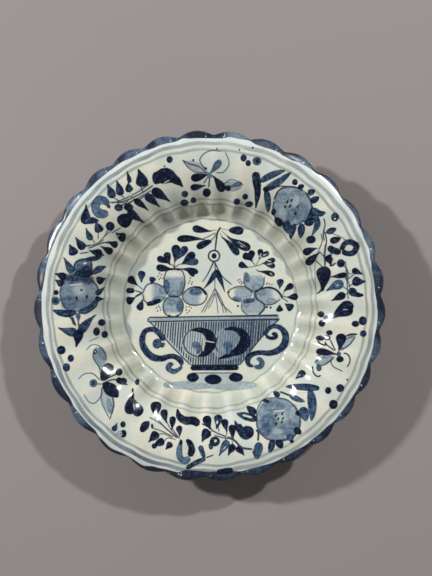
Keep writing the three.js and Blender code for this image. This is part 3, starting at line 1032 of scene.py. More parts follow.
def bowlHatching():
    # the upright lines on the bowl's wall; they stop at its sloping sides and are faint in the roundels
    lines = []
    x = hatching["first"]
    while x <= hatching["last"]:
        top, low = hatching["top"] + hatching["topSlope"] * x, hatching["foot"]
        for y in range(int(top) - 1, int(low) - 1, -1):
            here = x + hatching["lean"] * (y - top)
            left = hatching["left"][0] + (hatching["left"][1] - y) * hatching["leftSlope"]
            right = hatching["right"][0] + (y - hatching["right"][1]) * hatching["rightSlope"]
            if here < left + hatching["clear"] or here > right - hatching["clear"]:
                low = y + 1
                break
        cuts = []
        for cx, cy, rx, ry in hatching["roundels"]:
            inside = 1 - ((x - cx) / rx) ** 2
            if inside > 0:
                cuts.append((cy + ry * math.sqrt(inside), cy - ry * math.sqrt(inside)))
        spans, start = [], top
        for high, deep in sorted(cuts, reverse=True):
            if start > high > low:
                spans.append((start, high))
            start = min(start, deep)
        if start > low:
            spans.append((start, low))
        lines += [hatchLine(x, top, high, deep, hatching["fine"], hatching["faint"]) for high, deep in cuts]
        bold = min(abs(x - b) for b in hatching["bold"]) < hatching["step"] / 2
        wide = hatching["wide"] * (hatching["boldShare"] if bold else 1)
        lines += [hatchLine(x, top, high, deep, wide, hatching["tone"]) for high, deep in spans
                  if high - deep > hatching["shortest"]]
        x += hatching["step"] * (1 + hatching["uneven"] * math.sin(x * 3.1))
    return lines


paint(dict(bowl, outlines=bowlHatching() + bowl["outlines"]))
paint(stem)
paint(ticked(leftFlower))
paint(ticked(rightFlower))


topInsect = {
    "name": "paint_insect_top",
    "washes": [(7, 139, 6, 10, .3, -35)],
    "leafs": [(-4, 131, -27, 141, 7, .26, -1.5), (14, 121, 31, 119, 8, .3, -2)],
    "drops": [
        (-3, 130, -17, 126.5, 7, .98), (-6.5, 119, -18, 117, 5.5, .93), (-1, 130, 8, 141, 6, .62),
        (3, 127, 11, 116, 8, .97), (12, 118, 18, 116.5, 5, .93), (19, 117.5, 29, 120.5, 4, .62)],
    "blots": [
        (-4, 112.5, 8, 8, .98), (-5, 135, 2.6, 2.6, .9), (-40, 143.5, 6, 6.6, .84),
        (-25.5, 111, 6.6, 6, .8), (-17, 105.5, 5.4, 5.4, .88), (-26, 103, 8, 6, .9), (32, 145, 6, 7, .86),
        (36.5, 140, 5.2, 5.8, .9), (45, 142, 8.6, 8, .66), (46, 142, 4.5, 5, .92),
        (34, 108.5, 5.4, 5.4, .95), (26, 104, 6.6, 5.6, .88), (38, 101.5, 7.6, 5.4, .9)],
    "sweeps": [([(-4, 131), (-1, 128.5), (2, 127)], [3, 3.5, 3], .5)],
    "outlines": [
        ([(-4, 131), (-12, 137), (-21, 139.5), (-28, 143)], [.9, 1.2], .7),
        ([(-4, 131), (-14, 131.5), (-22, 136), (-26, 141.5)], [.8], .6),
        ([(-2, 128), (-7, 121)], [.8], .75), ([(-1, 128), (-2, 117)], [1], .75),
        ([(-5, 134.5), (-9, 139), (-10.5, 144), (-6, 149.5), (2, 152.5), (10, 151.5)], [.9, .8, .5], .62),
        ([(5, 131), (12, 131.5), (17, 137), (17.5, 143), (14, 151)], [.8, .8, .6], .55),
        ([(13, 121), (20, 124.5), (29, 121.5), (32, 119)], [.7], .55),
        ([(0, 131), (5, 137), (8, 142)], [.7], .8)],
}
pomegranateUpperRight = {
    "name": "paint_pomegranate_upper_right",
    "washes": [(80, 98.5, 37, 37, .36)],
    "stains": [
        (89, 92, 12, 16, .5), (70, 106, 13, 9, .44), (84, 110, 14, 6, .46), (71, 92, 10, 14, .28, 20),
        (79, 90, 7, 12, .5, -15), (83, 103, 8, 13, .27, -25)],
    "leafs": [(98.5, 97, 93, 81, 6, .93, 2.5), (113, 72.5, 122.5, 76.5, 5.5, .86)],
    "petals": [
        (71, 132, 49, 122.5, 6, .74), (76.5, 130, 53, 114.5, 6.5, .74), (56.5, 94.5, 54, 114, 6, .74),
        (90.5, 118.5, 85.5, 116.5, 4.5, .93), (101, 113.5, 95, 111, 5.5, .86),
        (105, 107, 98, 103, 5.8, .84), (64, 88, 70, 81, 6, .95), (79.5, 68, 83, 81, 5, .8),
        (88.5, 68.5, 89, 81, 6.2, .8), (126, 67, 117, 64.5, 6, .93)],
    "tongues": [(77, 73.5, 73.5, 83, 7, .78)],
    "blots": [
        (54, 115, 6, 5, .95), (82, 121.5, 5.5, 6, .9), (62, 93.5, 4.5, 6.5, .93), (96, 82.5, 9, 7, .93),
        (121, 87.5, 7.5, 8.5, .82), (98.5, 66, 9, 7.5, .95), (75, 102.5, 1.6, 3.6, .97, -20),
        (79, 104, 1.4, 3.6, .93, -30), (77.5, 98.5, 1.6, 3.4, .97, -30), (73, 98, 1.6, 3, .95, -20),
        (85, 98, 1.6, 3.5, .75, -30), (83, 91.5, 2.2, 3, .95, -20)],
    "sweeps": [
        ([(43.5, 132), (45, 122), (46, 112), (44.5, 97)], [7, 8, 6, 1.5], .93),
        ([(99, 69.5), (104, 80), (102.5, 86), (98, 87)], [1.2, 6, 6, 4], .76),
        ([(99, 95), (106, 91), (112, 92)], [7, 6, 2.5], .78)],
    "outlines": [
        ([(62, 105), (66, 113), (74, 117.2), (84, 116), (90, 113)], [1.2], .85),
        ([(57, 114), (66, 117.5), (75, 117.5)], [.9], .7), ([(99, 97), (97, 104), (92, 112)], [1.2], .7),
        ([(62, 104), (61.5, 95), (65, 86), (74, 80), (84, 80.5), (92, 85)], [.8], .65),
        ([(110, 87), (111.5, 80), (110, 72), (111, 64)], [.9], .7),
        ([(108, 72), (109, 64), (106, 56)], [.8], .6),
        ([(113, 72), (120, 71), (130, 66), (135, 60)], [.7], .5)],
    "highlightsAndBareSpots": [([(120, 86), (122, 85.6)], 2.2), ([(52, 118), (62, 124), (70, 128)], .9)],
}
spraysRight = {
    "name": "paint_sprays_right",
    "drops": [
        (103.5, 57, 94, 53.5, 6.8, .95), (106, 52.5, 97, 43.5, 7, .95), (110, 17, 110, 35, 12.5, .98),
        (117.5, 41, 115, 48, 7.5, .95), (118.5, 29.5, 131, 31.5, 5, .93), (115, 16, 127, 22, 8.5, .68),
        (119.5, 6.5, 129, 11.5, 7, .95), (147.5, 32, 139.5, 35.5, 5.5, .95),
        (150, 25, 141, 25.5, 8.5, .86), (120, -10.5, 134, -2, 13.5, .97)],
    "blots": [
        (127, 42.5, 7.5, 8, .95), (133, 0.5, 12.5, 11, .95), (109, -7.5, 6, 6, .93),
        (114.5, -11, 6.6, 5, .6), (109.5, -16.5, 6, 6.6, .86), (141, -16.5, 7.4, 6, .9),
        (148, -13.5, 7.6, 8.6, .9), (148.5, -26, 6.4, 6.4, .84)],
    "sweeps": [
        ([(116, 60), (118, 56), (124, 54), (127, 55)], [5, 6.5, 6.5, 5], .9),
        ([(127, 55), (131, 62), (137, 63), (142, 59), (139, 53), (133, 52), (128, 54.5)],
         [5, 5, 5.5, 6, 5.5, 5, 5], .88),
        ([(137.5, 19), (138.5, 14.5), (143, 11.8), (149, 11.5)], [7, 8, 4.5, 2.5], .9)],
    "outlines": [
        ([(110, 76), (113, 66), (112, 54), (112, 42), (114, 30)], [.9], .75),
        ([(106, 55), (112, 48)], [.7], .7), ([(103, 46), (111, 38)], [.7], .7),
        ([(113, 40), (109, 30), (109, 18)], [.7], .65), ([(123, 56), (116, 50), (113, 44)], [.7], .7),
        ([(126, 44), (133, 36), (134, 26)], [.8], .65), ([(141, 33), (134, 27)], [.7], .65),
        ([(142, 24), (134, 20)], [.7], .65), ([(130, 30), (134, 24)], [.7], .65),
        ([(128, 21), (134, 16)], [.7], .65), ([(129, 10), (134, 14)], [.7], .65),
        ([(110, 18), (108, 15), (105, 12.5)], [1.6, .9], .9),
        ([(116, 40.5), (119, 40.5), (122.5, 43.5)], [1.3], .9), ([(116, -10), (124, -10)], [1.5], .85),
        ([(131, 45), (132, 38), (133, 25), (134, 7)], [.8], .62),
        ([(132, 30), (135, 22), (136, 16)], [.7], .6), ([(112, 62), (111, 50), (113, 42)], [.7], .5),
        ([(104, 16), (103, 40), (106, 58)], [.6], .35), ([(131, 36), (136, 32), (140, 35)], [.6], .5)],
    "highlightsAndBareSpots": [
        ([(129, -3), (134, -2.5)], .5), ([(118, 50), (121, 46), (119, 44)], 1.0),
        ([(122, 20), (126, 22)], .8), ([(133, 58), (136, 57)], 2.2)],
}
insectRight = {
    "name": "paint_insect_right",
    "leafs": [(127, -42, 141, -28, 7, .28, 1), (120, -50, 103, -56, 7, .38, -1)],
    "drops": [
        (125, -41.5, 127, -29, 8.5, .95), (122, -46.5, 106, -44.5, 6.5, .93),
        (84.5, -70.5, 91, -65, 6, .95)],
    "blots": [
        (116.5, -25.5, 6, 5, .93), (114.5, -30.5, 6, 5, .93), (108, -31, 8, 5, .93),
        (106, -49, 4, 2.5, .9), (106, -60, 5, 6, .7), (126, -51, 7, 6, .95), (125, -46, 4, 5, .62),
        (114.5, -81.5, 6, 6.6, .93), (126, -79, 7.6, 7.6, .9), (119.5, -95, 8.4, 9, .93)],
    "sweeps": [
        ([(130, -29.5), (136, -27), (143, -26.5)], [1, 1.8, 1.4], .93),
        ([(105, -33), (108, -36.5), (113, -37.5), (112, -34)], [1.3], .9),
        ([(100, -58), (100.5, -64), (104, -68), (108, -67)], [1.3], .9)],
    "outlines": [
        ([(127, -42), (135, -37), (141, -29)], [.9], .75),
        ([(127, -42), (130, -33), (140, -28)], [.8], .65), ([(112, -36), (121, -43)], [.9], .8),
        ([(117, -32), (120, -39), (122, -43)], [.9], .8),
        ([(102, -55), (106, -51.5), (112, -49.5)], [.9], .75),
        ([(103, -57), (111, -57), (119, -51)], [.8], .7),
        ([(129, -45), (133, -46), (135.5, -50), (135, -55), (132.5, -59)], [1.2, .9], .75),
        ([(120, -48), (117.5, -53), (120, -58.5), (129, -63)], [.8], .65)],
    "highlightsAndBareSpots": [([(86, -69), (89, -66.5)], .8)],
}
pomegranateLowerRight = {
    "name": "paint_pomegranate_lower_right",
    "washes": [(66, -110, 42, 40, .42)],
    "stains": [
        (57, -112, 14, 12, .62), (53, -121, 12, 8, .62), (76, -118, 16, 12, .52), (62, -98, 18, 9, .54),
        (70, -108, 12, 12, .28, 30), (80, -103, 7, 14, .34, -20), (65, -122, 12, 8, .34)],
    "petals": [
        (62.5, -84.5, 67, -88.5, 5, .93), (36.5, -99, 44, -104.5, 6.5, .9), (27, -106, 45, -110, 7, .84),
        (45.5, -147.5, 48, -133, 8, .68), (69.5, -137, 66, -130, 7, .93),
        (92.5, -110.5, 89, -99, 8.5, .76), (98, -109, 97, -82, 8, .72), (57, -141, 60, -130, 6, .84),
        (87.5, -123.5, 82, -119, 6, .9), (91, -92, 78, -87, 5, .7)],
    "tongues": [(77, -79, 105, -79.5, 6, .78)],
    "blots": [
        (77.5, -127, 7, 7, .7), (79, -131, 4, 3, .93), (64, -106.5, 1.5, 3.2, .95, -30),
        (66, -109.5, 1.5, 3, .95, -30), (70, -104.5, 1.5, 3, .95, -30), (64, -114, 1.5, 3, .93, -30),
        (70.5, -109, 1.5, 3, .93, -30), (69.5, -112.5, 1.5, 3, .93, -30)],
    "sweeps": [
        ([(51.5, -92.5), (58, -94)], [3, 2.6], .93),
        ([(23.5, -112), (27, -119), (34, -123), (42, -120)], [1.5, 6, 13, 10], .88),
        ([(27.5, -115), (31, -119.5)], [3], .93), ([(83, -102), (87, -106)], [4, 3], .95)],
    "outlines": [
        ([(46, -101), (52, -92.5), (62, -89.8), (68, -90), (76, -92), (83, -99), (87, -106), (86, -118),
          (79, -127), (66, -130.5), (54, -128), (46, -119), (45, -109), (46, -101)],
          [.8, .8, 1.1, 1.8, 1.2, .8], .62), ([(44, -120), (46.5, -123), (46, -131)], [1.4], .85),
        ([(41, -140), (43, -145), (45.5, -147.5)], [1.6], .85),
        ([(16, -127), (24, -131), (30, -137), (41, -138.8)], [1.5], .8),
        ([(68, -84), (74, -86), (80, -88)], [1.4], .85)],
    # the last of these marks is a painted highlight on the rim
    "highlightsAndBareSpots": [
        ([(31, -107), (41, -109)], 1.6), ([(61, -103), (73, -101)], 1.0), ([(82, -84.5), (95, -83.5)], .8)],
}
spraysBottom = {
    "name": "paint_sprays_bottom",
    "drops": [
        (-54, -108.5, -54, -97, 9.5, .95), (-43.5, -113, -46, -103.5, 6.5, .93),
        (-38, -119.5, -37.5, -110, 6, .93), (-30.5, -126, -31.5, -118.5, 5.5, .93),
        (-.5, -119.5, -4, -110.5, 8, .95), (5.5, -119, 7, -109.5, 7.5, .88),
        (16, -121.5, 14, -113, 6.5, .93), (22, -128.5, 21, -118, 6.5, .93),
        (-8, -131, -3.5, -123.5, 9, .95), (9, -144, 16, -133, 7, .72), (17.5, -144, 22, -136.5, 6.5, .93),
        (32, -144, 27, -138, 6.5, .9), (-60, -131, -54, -124.5, 8, .95),
        (-55.5, -136, -47.5, -131.5, 7, .93), (-43.5, -138.5, -39.5, -134, 6, .9)],
    "bars": [(6, -161, 21.5, -158.5, 5.5, .93)],
    "blots": [(4, -131.5, 10, 9, .9), (-55, -135.5, 5, 5, .93), (-29, -132, 3, 5, .93)],
    "sweeps": [
        ([(-33, -101), (-31, -108), (-25, -112), (-17, -112.5), (-11, -116)], [2, 6, 7.5, 7.5, 7], .95),
        ([(-1, -133), (1, -139)], [3.5, 4], .74),
        ([(-24, -129.5), (-20.5, -133), (-18.5, -139), (-20.5, -146)], [3, 5.5, 6.5, 6], .9),
        ([(-20.5, -146), (-25, -150), (-30, -146), (-30.5, -139), (-29, -131)], [6, 6.5, 6, 5.5, 3], .6),
        ([(-10.5, -135), (-8, -142), (-6, -147)], [5, 4.5, 3], .76),
        ([(-5, -147.5), (-14, -151.5), (-24, -157.5)], [4, 5, 4], .8)],
    "outlines": [
        ([(-9, -115), (-4, -117), (2, -121)], [1.1], .8),
        ([(1, -121), (8, -124.5), (16, -127)], [.9], .75),
        ([(3, -125.5), (10, -127.5), (18, -129)], [.8], .65),
        ([(-54, -107), (-46, -117), (-33, -128)], [.7], .75),
        ([(-43.5, -112), (-39, -120), (-31, -128)], [.6], .7),
        ([(-37.5, -119), (-34, -124), (-30, -129)], [.6], .7),
        ([(-60, -108), (-50, -114), (-40, -122), (-32, -128)], [.7], .75),
        ([(-58, -118), (-48, -121.5), (-36, -127)], [.6], .7),
        ([(-54, -125), (-46, -124), (-37, -128)], [.6], .7),
        ([(-46, -132), (-42, -128), (-34, -129.5)], [.6], .65), ([(-5, -147), (3, -144)], [.9], .75),
        ([(-4, -112), (0, -120)], [.7], .7), ([(7, -111), (8, -123)], [.7], .7),
        ([(14, -114), (16, -126)], [.7], .7), ([(21, -119), (20, -129)], [.7], .7),
        ([(-5, -125), (2, -121.5)], [.7], .7), ([(16, -134), (14, -127)], [.7], .7),
        ([(22, -138), (21, -131)], [.7], .7), ([(27, -139), (27, -134)], [.7], .7)],
    "highlightsAndBareSpots": [
        ([(4, -129.5), (5.5, -132.5)], 2.6), ([(6, -116), (6.6, -112)], 1.8),
        ([(12, -139), (15, -136)], 1.0), ([(-25, -139), (-24, -135)], 2.0)],
}
insectLowerLeft = {
    "name": "paint_insect_lower_left",
    "washes": [(-109.5, -49.5, 9.5, 20, .34, 18), (-100.5, -92, 9, 24, .26, 14)],
    "stains": [(-107, -46, 6, 12, .46, 18), (-98.5, -97, 5, 14, .44, 14)],
    "tongues": [(-106, -71, -99.5, -58, 9.5, .95)],
    "drops": [
        (-77, -86, -77.5, -101, 11, .95), (-76, -90, -70, -103, 10, .86),
        (-91.5, -113.5, -94.5, -119, 5, .76), (-83, -76.5, -91, -71.5, 5, .93)],
    "leafs": [(-104.5, -75.2, -90.5, -88.5, 11, .95)],
    "blots": [
        (-113.3, -44.1, 3.6, 4.6, .9), (-90.4, -64.5, 6.4, 7, .9), (-86.6, -73.6, 7.6, 6.6, .95),
        (-114.4, -74.4, 7.6, 7.6, .6), (-114.4, -74.4, 3.5, 3.5, .74), (-145.5, -42, 8.4, 8.4, .95),
        (-136.2, -50, 6, 7, .9), (-140.4, -58.8, 7, 8, .86), (-72.7, -74.6, 4.4, 5.6, .8),
        (-85.5, -114.5, 5, 6, .95), (-85, -123.5, 6, 7.5, .95), (-89, -124, 6, 7, .3)],
    "sweeps": [
        ([(-60, -112), (-64, -116), (-68, -122)], [3, 8, 5], .9), ([(-57.5, -114), (-57, -119)], [2], .93),
        ([(-77, -80), (-76.5, -90)], [1.4, 2.6], .95)],
    "outlines": [
        ([(-105, -72.5), (-99, -69), (-92, -66)], [1], .8),
        ([(-104, -74), (-96, -71.5), (-89, -73)], [1], .8), ([(-112, -75), (-106, -75.5)], [.8], .7),
        ([(-121.7, -42.5), (-117, -37.6), (-110, -38.5), (-104, -46), (-103, -54)], [.6, .8], .6),
        ([(-129.2, -70.5), (-123.5, -65.5), (-115.2, -65.3), (-107.9, -71.9)], [.6, .8], .6),
        ([(-123.5, -85), (-118.5, -92.4), (-112.8, -93.5), (-107, -86.7), (-106.3, -78.6)], [.6, .8], .6),
        ([(-114.5, -42), (-115, -50), (-110, -58), (-106, -64)], [.7], .65),
        ([(-106, -78), (-106.5, -92), (-99, -108)], [.7], .6),
        ([(-96, -88), (-94.5, -97), (-98.5, -110)], [1.1, .8], .75),
        ([(-110, -57), (-108, -66)], [.6], .5)],
    "highlightsAndBareSpots": [
        ([(-101, -66), (-100, -61)], .8), ([(-76, -95), (-74.5, -101)], .9),
        ([(-114, -43), (-112.5, -45)], 1.2)],
}
pomegranateLeft = {
    "name": "paint_pomegranate_left",
    "washes": [(-129, 13, 36, 35, .40), (-125, 39, 17, 15, .62)],
    "stains": [
        (-130, 26.5, 29, 12, .78), (-121, 36, 9, 8, .84), (-140, 14, 10, 22, .48), (-125, 3, 22, 9, .50),
        (-138, 3, 12, 12, .58), (-128, 16, 14, 14, .28, 20)],
    "leafs": [(-132, 33, -115, 32.5, 6.5, .93)],
    "drops": [
        (-147, -20.5, -133, -24.5, 8, .74), (-114.5, -9.5, -126.5, -23.5, 8, .78),
        (-131.5, -38, -130, -25.5, 9, .93), (-142.5, 47, -136, 35, 6.5, .72),
        (-104.5, 28, -110, 26, 7.5, .93), (-106, 19, -112, 13.5, 5, .9), (-106.5, 8, -112, 8, 5, .9),
        (-151, 32, -143.5, 29, 7, .95), (-151, 26, -146, 22.5, 6.5, .93), (-129.5, -15, -130, -7.5, 4, .6)],
    "blots": [
        (-150.5, 14, 5, 5, .93), (-151, 6, 8, 8, .7), (-151, 6, 4, 4, .95), (-131, 8.5, 1.8, 3.6, .97),
        (-126.5, 16.5, 2.2, 1.8, .85), (-121.5, 10, 1.8, 3.2, .97), (-107.7, -15.6, 6.8, 6.8, .95),
        (-112.5, -24.5, 6, 8, .93), (-105, -27.5, 6, 7, .93)],
    "sweeps": [
        ([(-103, 40), (-110, 37), (-116, 32.5)], [1.5, 6.5, 4], .74),
        ([(-154, -3), (-147, -5.5), (-139, -6.5), (-131, -5)], [1.5, 6, 7, 4], .82),
        ([(-130, -5), (-123, -3.8), (-116, 1), (-110.5, 9)], [3, 6.5, 6, 2.5], .76)],
    "outlines": [
        ([(-147, 13), (-144, 24), (-137, 30), (-128, 31.2), (-119, 28), (-112, 20), (-111, 12)], [1], .7),
        ([(-147, 13), (-144, 2), (-138, -3)], [.9], .65),
        ([(-133, 34), (-132.5, 42), (-126, 46.5), (-118, 45.5), (-116.5, 38), (-118, 33)], [1], .85),
        ([(-147, -6), (-137, -10), (-133, -18)], [1.4], .85), ([(-135, -9), (-131.5, -19)], [1], .8),
        ([(-129.5, -14), (-128.5, -20)], [1], .75), ([(-120, -34), (-110, -30)], [.8], .4)],
    # painted highlights on the disc and on the crown
    "highlightsAndBareSpots": [([(-138, 21), (-125, 22.5)], 1.2), ([(-125, 42), (-121, 43)], 2.0)],
}
spraysUpperLeft = {
    "name": "paint_sprays_upper_left",
    "drops": [
        (-41.5, 104.5, -55, 113, 8.5, .95), (-51.5, 99.5, -62, 108, 7.5, .93),
        (-62.5, 95.5, -73, 103.5, 6, .95), (-67, 84.5, -79, 93.5, 7, .93), (-74, 91, -86, 83, 12.5, .97),
        (-93, 72.5, -87, 69, 8.5, .97), (-100, 64, -94, 61.5, 6.5, .95),
        (-106.5, 58.5, -99, 54.5, 6.5, .93), (-118, 55, -109, 53, 7, .95),
        (-70.5, 133, -67.5, 121, 11, .93), (-81.5, 131.5, -79, 122, 3.8, .9),
        (-80, 121, -79, 114.5, 7, .88), (-91.5, 122, -88.5, 111, 7.2, .86),
        (-100.5, 118.5, -96.5, 108.5, 7.5, .84), (-121.5, 98.5, -122.5, 83.5, 8.5, .88),
        (-112, 83, -109, 75.5, 8, .84), (-121, 76, -117, 67, 5.5, .76), (-131, 67, -125, 58.5, 7.2, .88),
        (-137.5, 60, -134, 53, 8.4, .84)],
    "leafs": [(-124, 82.5, -109, 84, 6, .84, 1), (-122, 47, -107, 49.5, 4.5, .86, -1)],
    "blots": [(-80.5, 97.5, 9, 7, .93), (-98.5, 79, 8.5, 8.5, .97), (-90, 97, 8, 7, .86)],
    "sweeps": [
        ([(-55, 120), (-51, 125.5), (-43, 128), (-34, 124), (-27, 117.5)], [5, 13, 15, 8, 1.4], .97),
        ([(-100.5, 93.5), (-104, 91), (-109, 91.5), (-112, 96), (-111.5, 101), (-107.5, 104),
          (-102.5, 102.5), (-100, 98.5)], [6, 8.5, 9, 8.5, 8.5, 8.5, 7, 4], .62),
        ([(-109, 53), (-105, 50)], [3, 1.2], .9)],
    "outlines": [
        ([(-100.5, 100), (-98.5, 96)], [2.6], .95), ([(-91, 112), (-84, 106)], [.7], .7),
        ([(-79, 113), (-77, 106)], [.7], .7), ([(-69, 119), (-66, 112)], [.8], .7),
        ([(-97, 108), (-88, 102.5)], [.7], .7), ([(-73, 103), (-64, 109)], [.7], .7),
        ([(-84, 97), (-74, 106)], [.8], .7), ([(-90, 97), (-80, 104)], [.7], .7),
        ([(-100, 102), (-84, 102)], [.7], .6), ([(-99, 79), (-104, 69)], [.7], .7),
        ([(-110, 76), (-110, 66)], [.7], .6), ([(-117, 68), (-113, 62)], [.7], .6),
        ([(-60, 120), (-74, 110.5), (-88, 104), (-97, 101)], [.8], .7),
        ([(-94, 61), (-104, 63)], [.7], .7), ([(-99, 54.5), (-109, 60)], [.7], .7),
        ([(-125, 58.5), (-117, 60)], [.7], .7),
        ([(-56, 119), (-68, 111), (-80, 105), (-92, 101)], [.9], .75),
        ([(-58, 114), (-69, 107.5), (-82, 101), (-94, 98)], [.8], .65),
        ([(-96, 76), (-104, 69), (-110, 62)], [.8], .5), ([(-98, 64), (-108, 62), (-120, 57)], [.9], .75),
        ([(-128, 52), (-119, 53.5)], [.9], .7), ([(-88, 78), (-98, 72)], [.8], .55),
        ([(-104, 66), (-114, 61), (-124, 60)], [.7], .55)],
    "highlightsAndBareSpots": [
        ([(-79, 108), (-77, 112)], 2.2), ([(-46, 121), (-40, 124)], .8), ([(-94, 68.5), (-90, 70.5)], .7)],
}
flaws = {
    # pinholes where the glaze burst in the fire
    "name": "glaze_pinholes",
    "blots": [
        (-17, 143, 1.9, 1.9, .95), (41, 155, 1.8, 1.8, .95), (28, 153, 1.5, 1.5, .85),
        (-45, 137, 1.5, 1.5, .85), (6, 154, 1.4, 1.4, .85), (133, -71, 1.7, 1.7, .9)],
}
motifs = [
    topInsect, pomegranateUpperRight, spraysRight, insectRight, pomegranateLowerRight, spraysBottom,
    insectLowerLeft, pomegranateLeft, spraysUpperLeft, flaws,
]
for motif in motifs:
    paint(motif)


# how far a ring strays in millimetres and how much its width and tone change, each with how quickly it
# does so, and how much coarser than in a stroke the points lie
ringHand = {
    "waver": 0.7, "waverScale": 5, "width": 0.35, "widthScale": 9, "tone": 0.9, "toneScale": 11,
    "spacing": 1.2,
}
rings = [
    # each line: width, how far it sways out in the lobes, its ink, and its keys: heading in degrees,
    # radius and tone; on the rim rings the low tones near heading 300 are partly painted light, paler where
    # the lower right is lit more
    {"name": "paint_ring_well", "lines": [
        (1.3, .9, outlineInk, [(0, 86.4, .16), (90, 85.6, .23), (180, 85.8, .18)])]},
    {"name": "paint_ring_shoulder", "lines": [
        (1.4, 1.7, outlineInk, [(0, 99.8, .12), (90, 99.8, .18), (180, 99.6, .16), (270, 100, .14)]),
        (1.2, 1.7, outlineInk, [(0, 104.2, .11), (90, 103.8, .2), (180, 103.8, .17), (270, 104.2, .12)])]},
    {"name": "paint_ring_rim_inner", "lines": [
        (2.3, .9, ringInk, [
            (0, 150.2, .16), (45, 149.6, .14), (90, 150, .11), (130, 150.4, .14), (160, 150.4, .14),
            (190, 151, .16), (215, 152.4, .28), (240, 152.6, .24), (260, 152.4, .17), (300, 152.2, .08),
            (330, 151.2, .14)])]},
    {"name": "paint_ring_rim_outer", "lines": [
        (3.4, 1.2, ringInk, [
            (0, 156.6, .16), (30, 156.6, .17), (60, 156.4, .16), (90, 156.2, .12), (105, 156.2, .2),
            (118, 155.8, .22), (132, 156.2, .3), (145, 156, .2), (160, 155.4, .2), (175, 155, .16),
            (190, 155.6, .14), (205, 156.8, .3), (215, 157.4, .34), (230, 158.8, .38), (240, 159.2, .48),
            (250, 158.8, .44), (258, 158.4, .3), (275, 158, .16), (300, 158.4, .08), (330, 157, .14),
            (350, 156.8, .22)])]},
]


def keyed(keys, degrees):
    # the values between the two nearest headings
    turn = degrees % 360
    before = max((k for k in keys if k[0] <= turn), default=keys[-1])
    after = min((k for k in keys if k[0] > turn), default=(keys[0][0] + 360, *keys[0][1:]))
    part = eased((turn - before[0]) / (after[0] - before[0]))
    return [a + (b - a) * part for a, b in zip(before[1:], after[1:])]


def paintRing(ring):
    # lines round the dish that waver a little from the true circle, in width and in tone
    painting = Painting(ring["name"])
    painting.soft = cobalt["ringSoft"]
    painting.isSeated = False
    for wide, sway, ink, keys in ring["lines"]:
        count = math.ceil(2 * math.pi * keys[0][1] / cobalt["step"] / ringHand["spacing"])
        centres = []
        for i in range(count + 1):
            a = 2 * math.pi * (i % count) / count
            heading = Vector((math.cos(a), math.sin(a), 0))
            radius = keyed(keys, math.degrees(a))[0]
            lobe = dishAt(heading.x * radius, heading.y * radius)[2].x
            waver = noise.noise(heading * ringHand["waverScale"] + Vector((0, 0, radius)))
            reach = radius + sway * (lobe - 0.5) + ringHand["waver"] * waver
            change = noise.noise(heading * ringHand["widthScale"] + Vector((0, 3, radius)))
            half = wide / 2 * (1 + ringHand["width"] * change)
            centres.append((heading.xy * reach, half, i / count))

        def toneAt(flow):
            heading = Vector((math.cos(2 * math.pi * flow), math.sin(2 * math.pi * flow), 0))
            change = noise.noise(heading * ringHand["toneScale"] + Vector((5, 0, wide)))
            return keyed(keys, 360 * flow)[1] * (1 + ringHand["tone"] * change)

        painting.ribbon(centres, toneAt, ink, closed=True)
    painting.finish()


for ring in rings:
    paintRing(ring)

lipBand = {
    # outerRow is the share of the lip's round where the band begins, overlap how far its sheet runs past
    # the painted border; it is darker toward the edge and on the ridges: painted shade, on the ridges also
    # pooled paint
    "name": "paint_lip_band", "outerRow": 0.30, "steps": 12, "lift": 0.07, "inward": 1.6, "overlap": 0.6,
    "rough": 0.5, "roughScale": 14, "change": 0.20, "changeScale": 18, "ridgeShadeAndPooling": 0.22,
    "edgeShade": 0.55, "edgePower": 1.4, "darkest": 1.05, "solid": 3.0, "seed": 11.0,
    # heading in degrees, radius of the band's inner border before it is moved inward, tone
    "keys": [
        (0, 162, .95), (4, 160.8, .85), (9, 161, .78), (13, 160.8, .6), (16, 162, .5), (20, 164, .5),
        (24, 163.5, .5), (28, 164.2, .62), (34, 165.3, .62), (38, 164.5, .75), (41, 165.5, .6),
        (46, 166.6, .62), (50, 165, .78), (54, 165, .46), (58, 164.3, .52), (61, 162, .95), (64, 162, 1),
        (66, 163.5, .62), (74, 162.8, .66), (77, 165, .45), (83, 165, .42), (86, 163, .75),
        (89, 162.6, .82), (92, 163, .97), (96, 163.6, 1), (99, 164.6, .6), (102, 163, .55),
        (107, 163.4, .6), (110, 162.6, .86), (113, 163, .5), (118, 163, .58), (121, 163.5, .82),
        (124, 163.5, .52), (129, 163, .6), (132, 163.4, .78), (136, 163, .62), (140, 163.5, .46),
        (144, 163, .52), (149, 162.6, .74), (152, 162.6, .42), (156, 163, .54), (160, 163, .78),
        (163, 163.4, .5), (167, 163, .62), (170, 162.6, 1), (173, 162.6, .98), (176, 163.4, .52),
        (180, 163, .86), (184, 163, .92), (188, 163, .6), (192, 163.8, .52), (196, 163.8, .64),
        (200, 162.8, .9), (204, 163, .62), (208, 162.8, .86), (213, 162.2, .92), (217, 163.8, .52),
        (222, 163.8, .64), (227, 163.8, .88), (230, 166, .97), (235, 168, 1), (240, 165.6, .97),
        (243, 165.6, .97), (247, 167.6, 1), (251, 164.6, .97), (255, 163.8, .9), (259, 164, .8),
        (262, 160.4, .84), (266, 159.8, .74), (270, 160.4, .76), (277, 161, .72), (281, 162.6, .68),
        (286, 162.2, .66), (292, 163.4, .72), (296, 163, .72), (301, 162.6, .74), (305, 163.5, .82),
        (309, 163, .66), (314, 163, .82), (318, 164, .62), (322, 164, .68), (327, 164, .72),
        (332, 164, .74), (337, 163.6, .82), (341, 163.2, .56), (346, 163, .64), (350, 162.6, .82),
        (354, 163, .56), (358, 163, .82)],
}


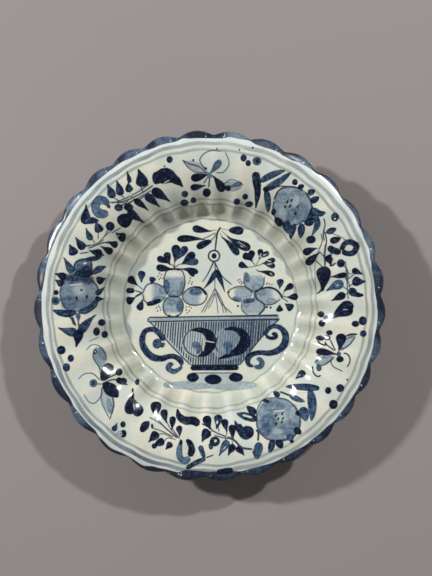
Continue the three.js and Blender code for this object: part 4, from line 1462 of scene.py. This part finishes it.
def lipPainting():
    # the broad blue edge, laid on the fine rows of the dish round its lip
    frontRows = [i for i, row in enumerate(rows) if row["front"] == 1.0 and row["share"] > 0.5]
    lipStart = next(i for i, row in enumerate(rows) if row["share"] == 1.0 and row["front"] == 0.5)
    outer = lipStart + lipBand["outerRow"] * dish["lipSteps"]
    painting = Painting(lipBand["name"])
    points, columns = painting.points, lipBand["steps"] + 1
    for j in range(around + 1):
        column = j % around
        angle = dishAngle(stops[column])
        degrees = math.degrees(angle)
        heading = Vector((math.cos(angle), math.sin(angle), 0))
        inner, tone = keyed(lipBand["keys"], degrees)
        inner += lipBand["rough"] * noise.noise(heading * lipBand["roughScale"])
        inner -= lipBand["inward"]
        tone += lipBand["change"] * noise.noise(heading * lipBand["changeScale"] + Vector((0, 0, 7)))
        reach = inner - lipBand["overlap"]
        end = next(i for i in frontRows if dishPoints[i * around + column].xy.length < reach)
        travelled = 0.0
        for k in range(columns):
            at = outer + (end - outer) * k / (columns - 1)
            low = min(int(at), end - 1)
            part = at - low
            a, b = low * around + column, (low + 1) * around + column
            place = dishPoints[a].lerp(dishPoints[b], part)
            normal = dishNormals[a].lerp(dishNormals[b], part).normalized()
            if k:
                travelled += (place - points[-1]).length
            points.append(place + normal * lipBand["lift"])
            painting.normals.append(normal)
            painting.press.append(Vector(dishPress[a]).lerp(Vector(dishPress[b]), part))
            outward = (1 - k / (columns - 1)) ** lipBand["edgePower"]
            # painted shade toward the turned-down edge and on the ridges, where pooled paint also darkens it
            shadeAndPooling = 1.0 + lipBand["edgeShade"] * outward + lipBand["ridgeShadeAndPooling"] * (1 - dishPress[a][0])
            onFront = at > lipStart + dish["lipSteps"] / 2
            border = place.xy.length - inner if onFront else lipBand["solid"]
            painting.brush.append((min(lipBand["darkest"], tone * shadeAndPooling), border, 0.5))
            painting.grain.append((angle * notchRadius, travelled, lipBand["seed"]))
    for j in range(around):
        for k in range(columns - 1):
            near, far = j * columns + k, (j + 1) * columns + k
            painting.faces.append((near, far, far + 1, near + 1))
            painting.kinds.append(lipInk)
    painting.finish()


lipPainting()

bpy.context.view_layer.update()
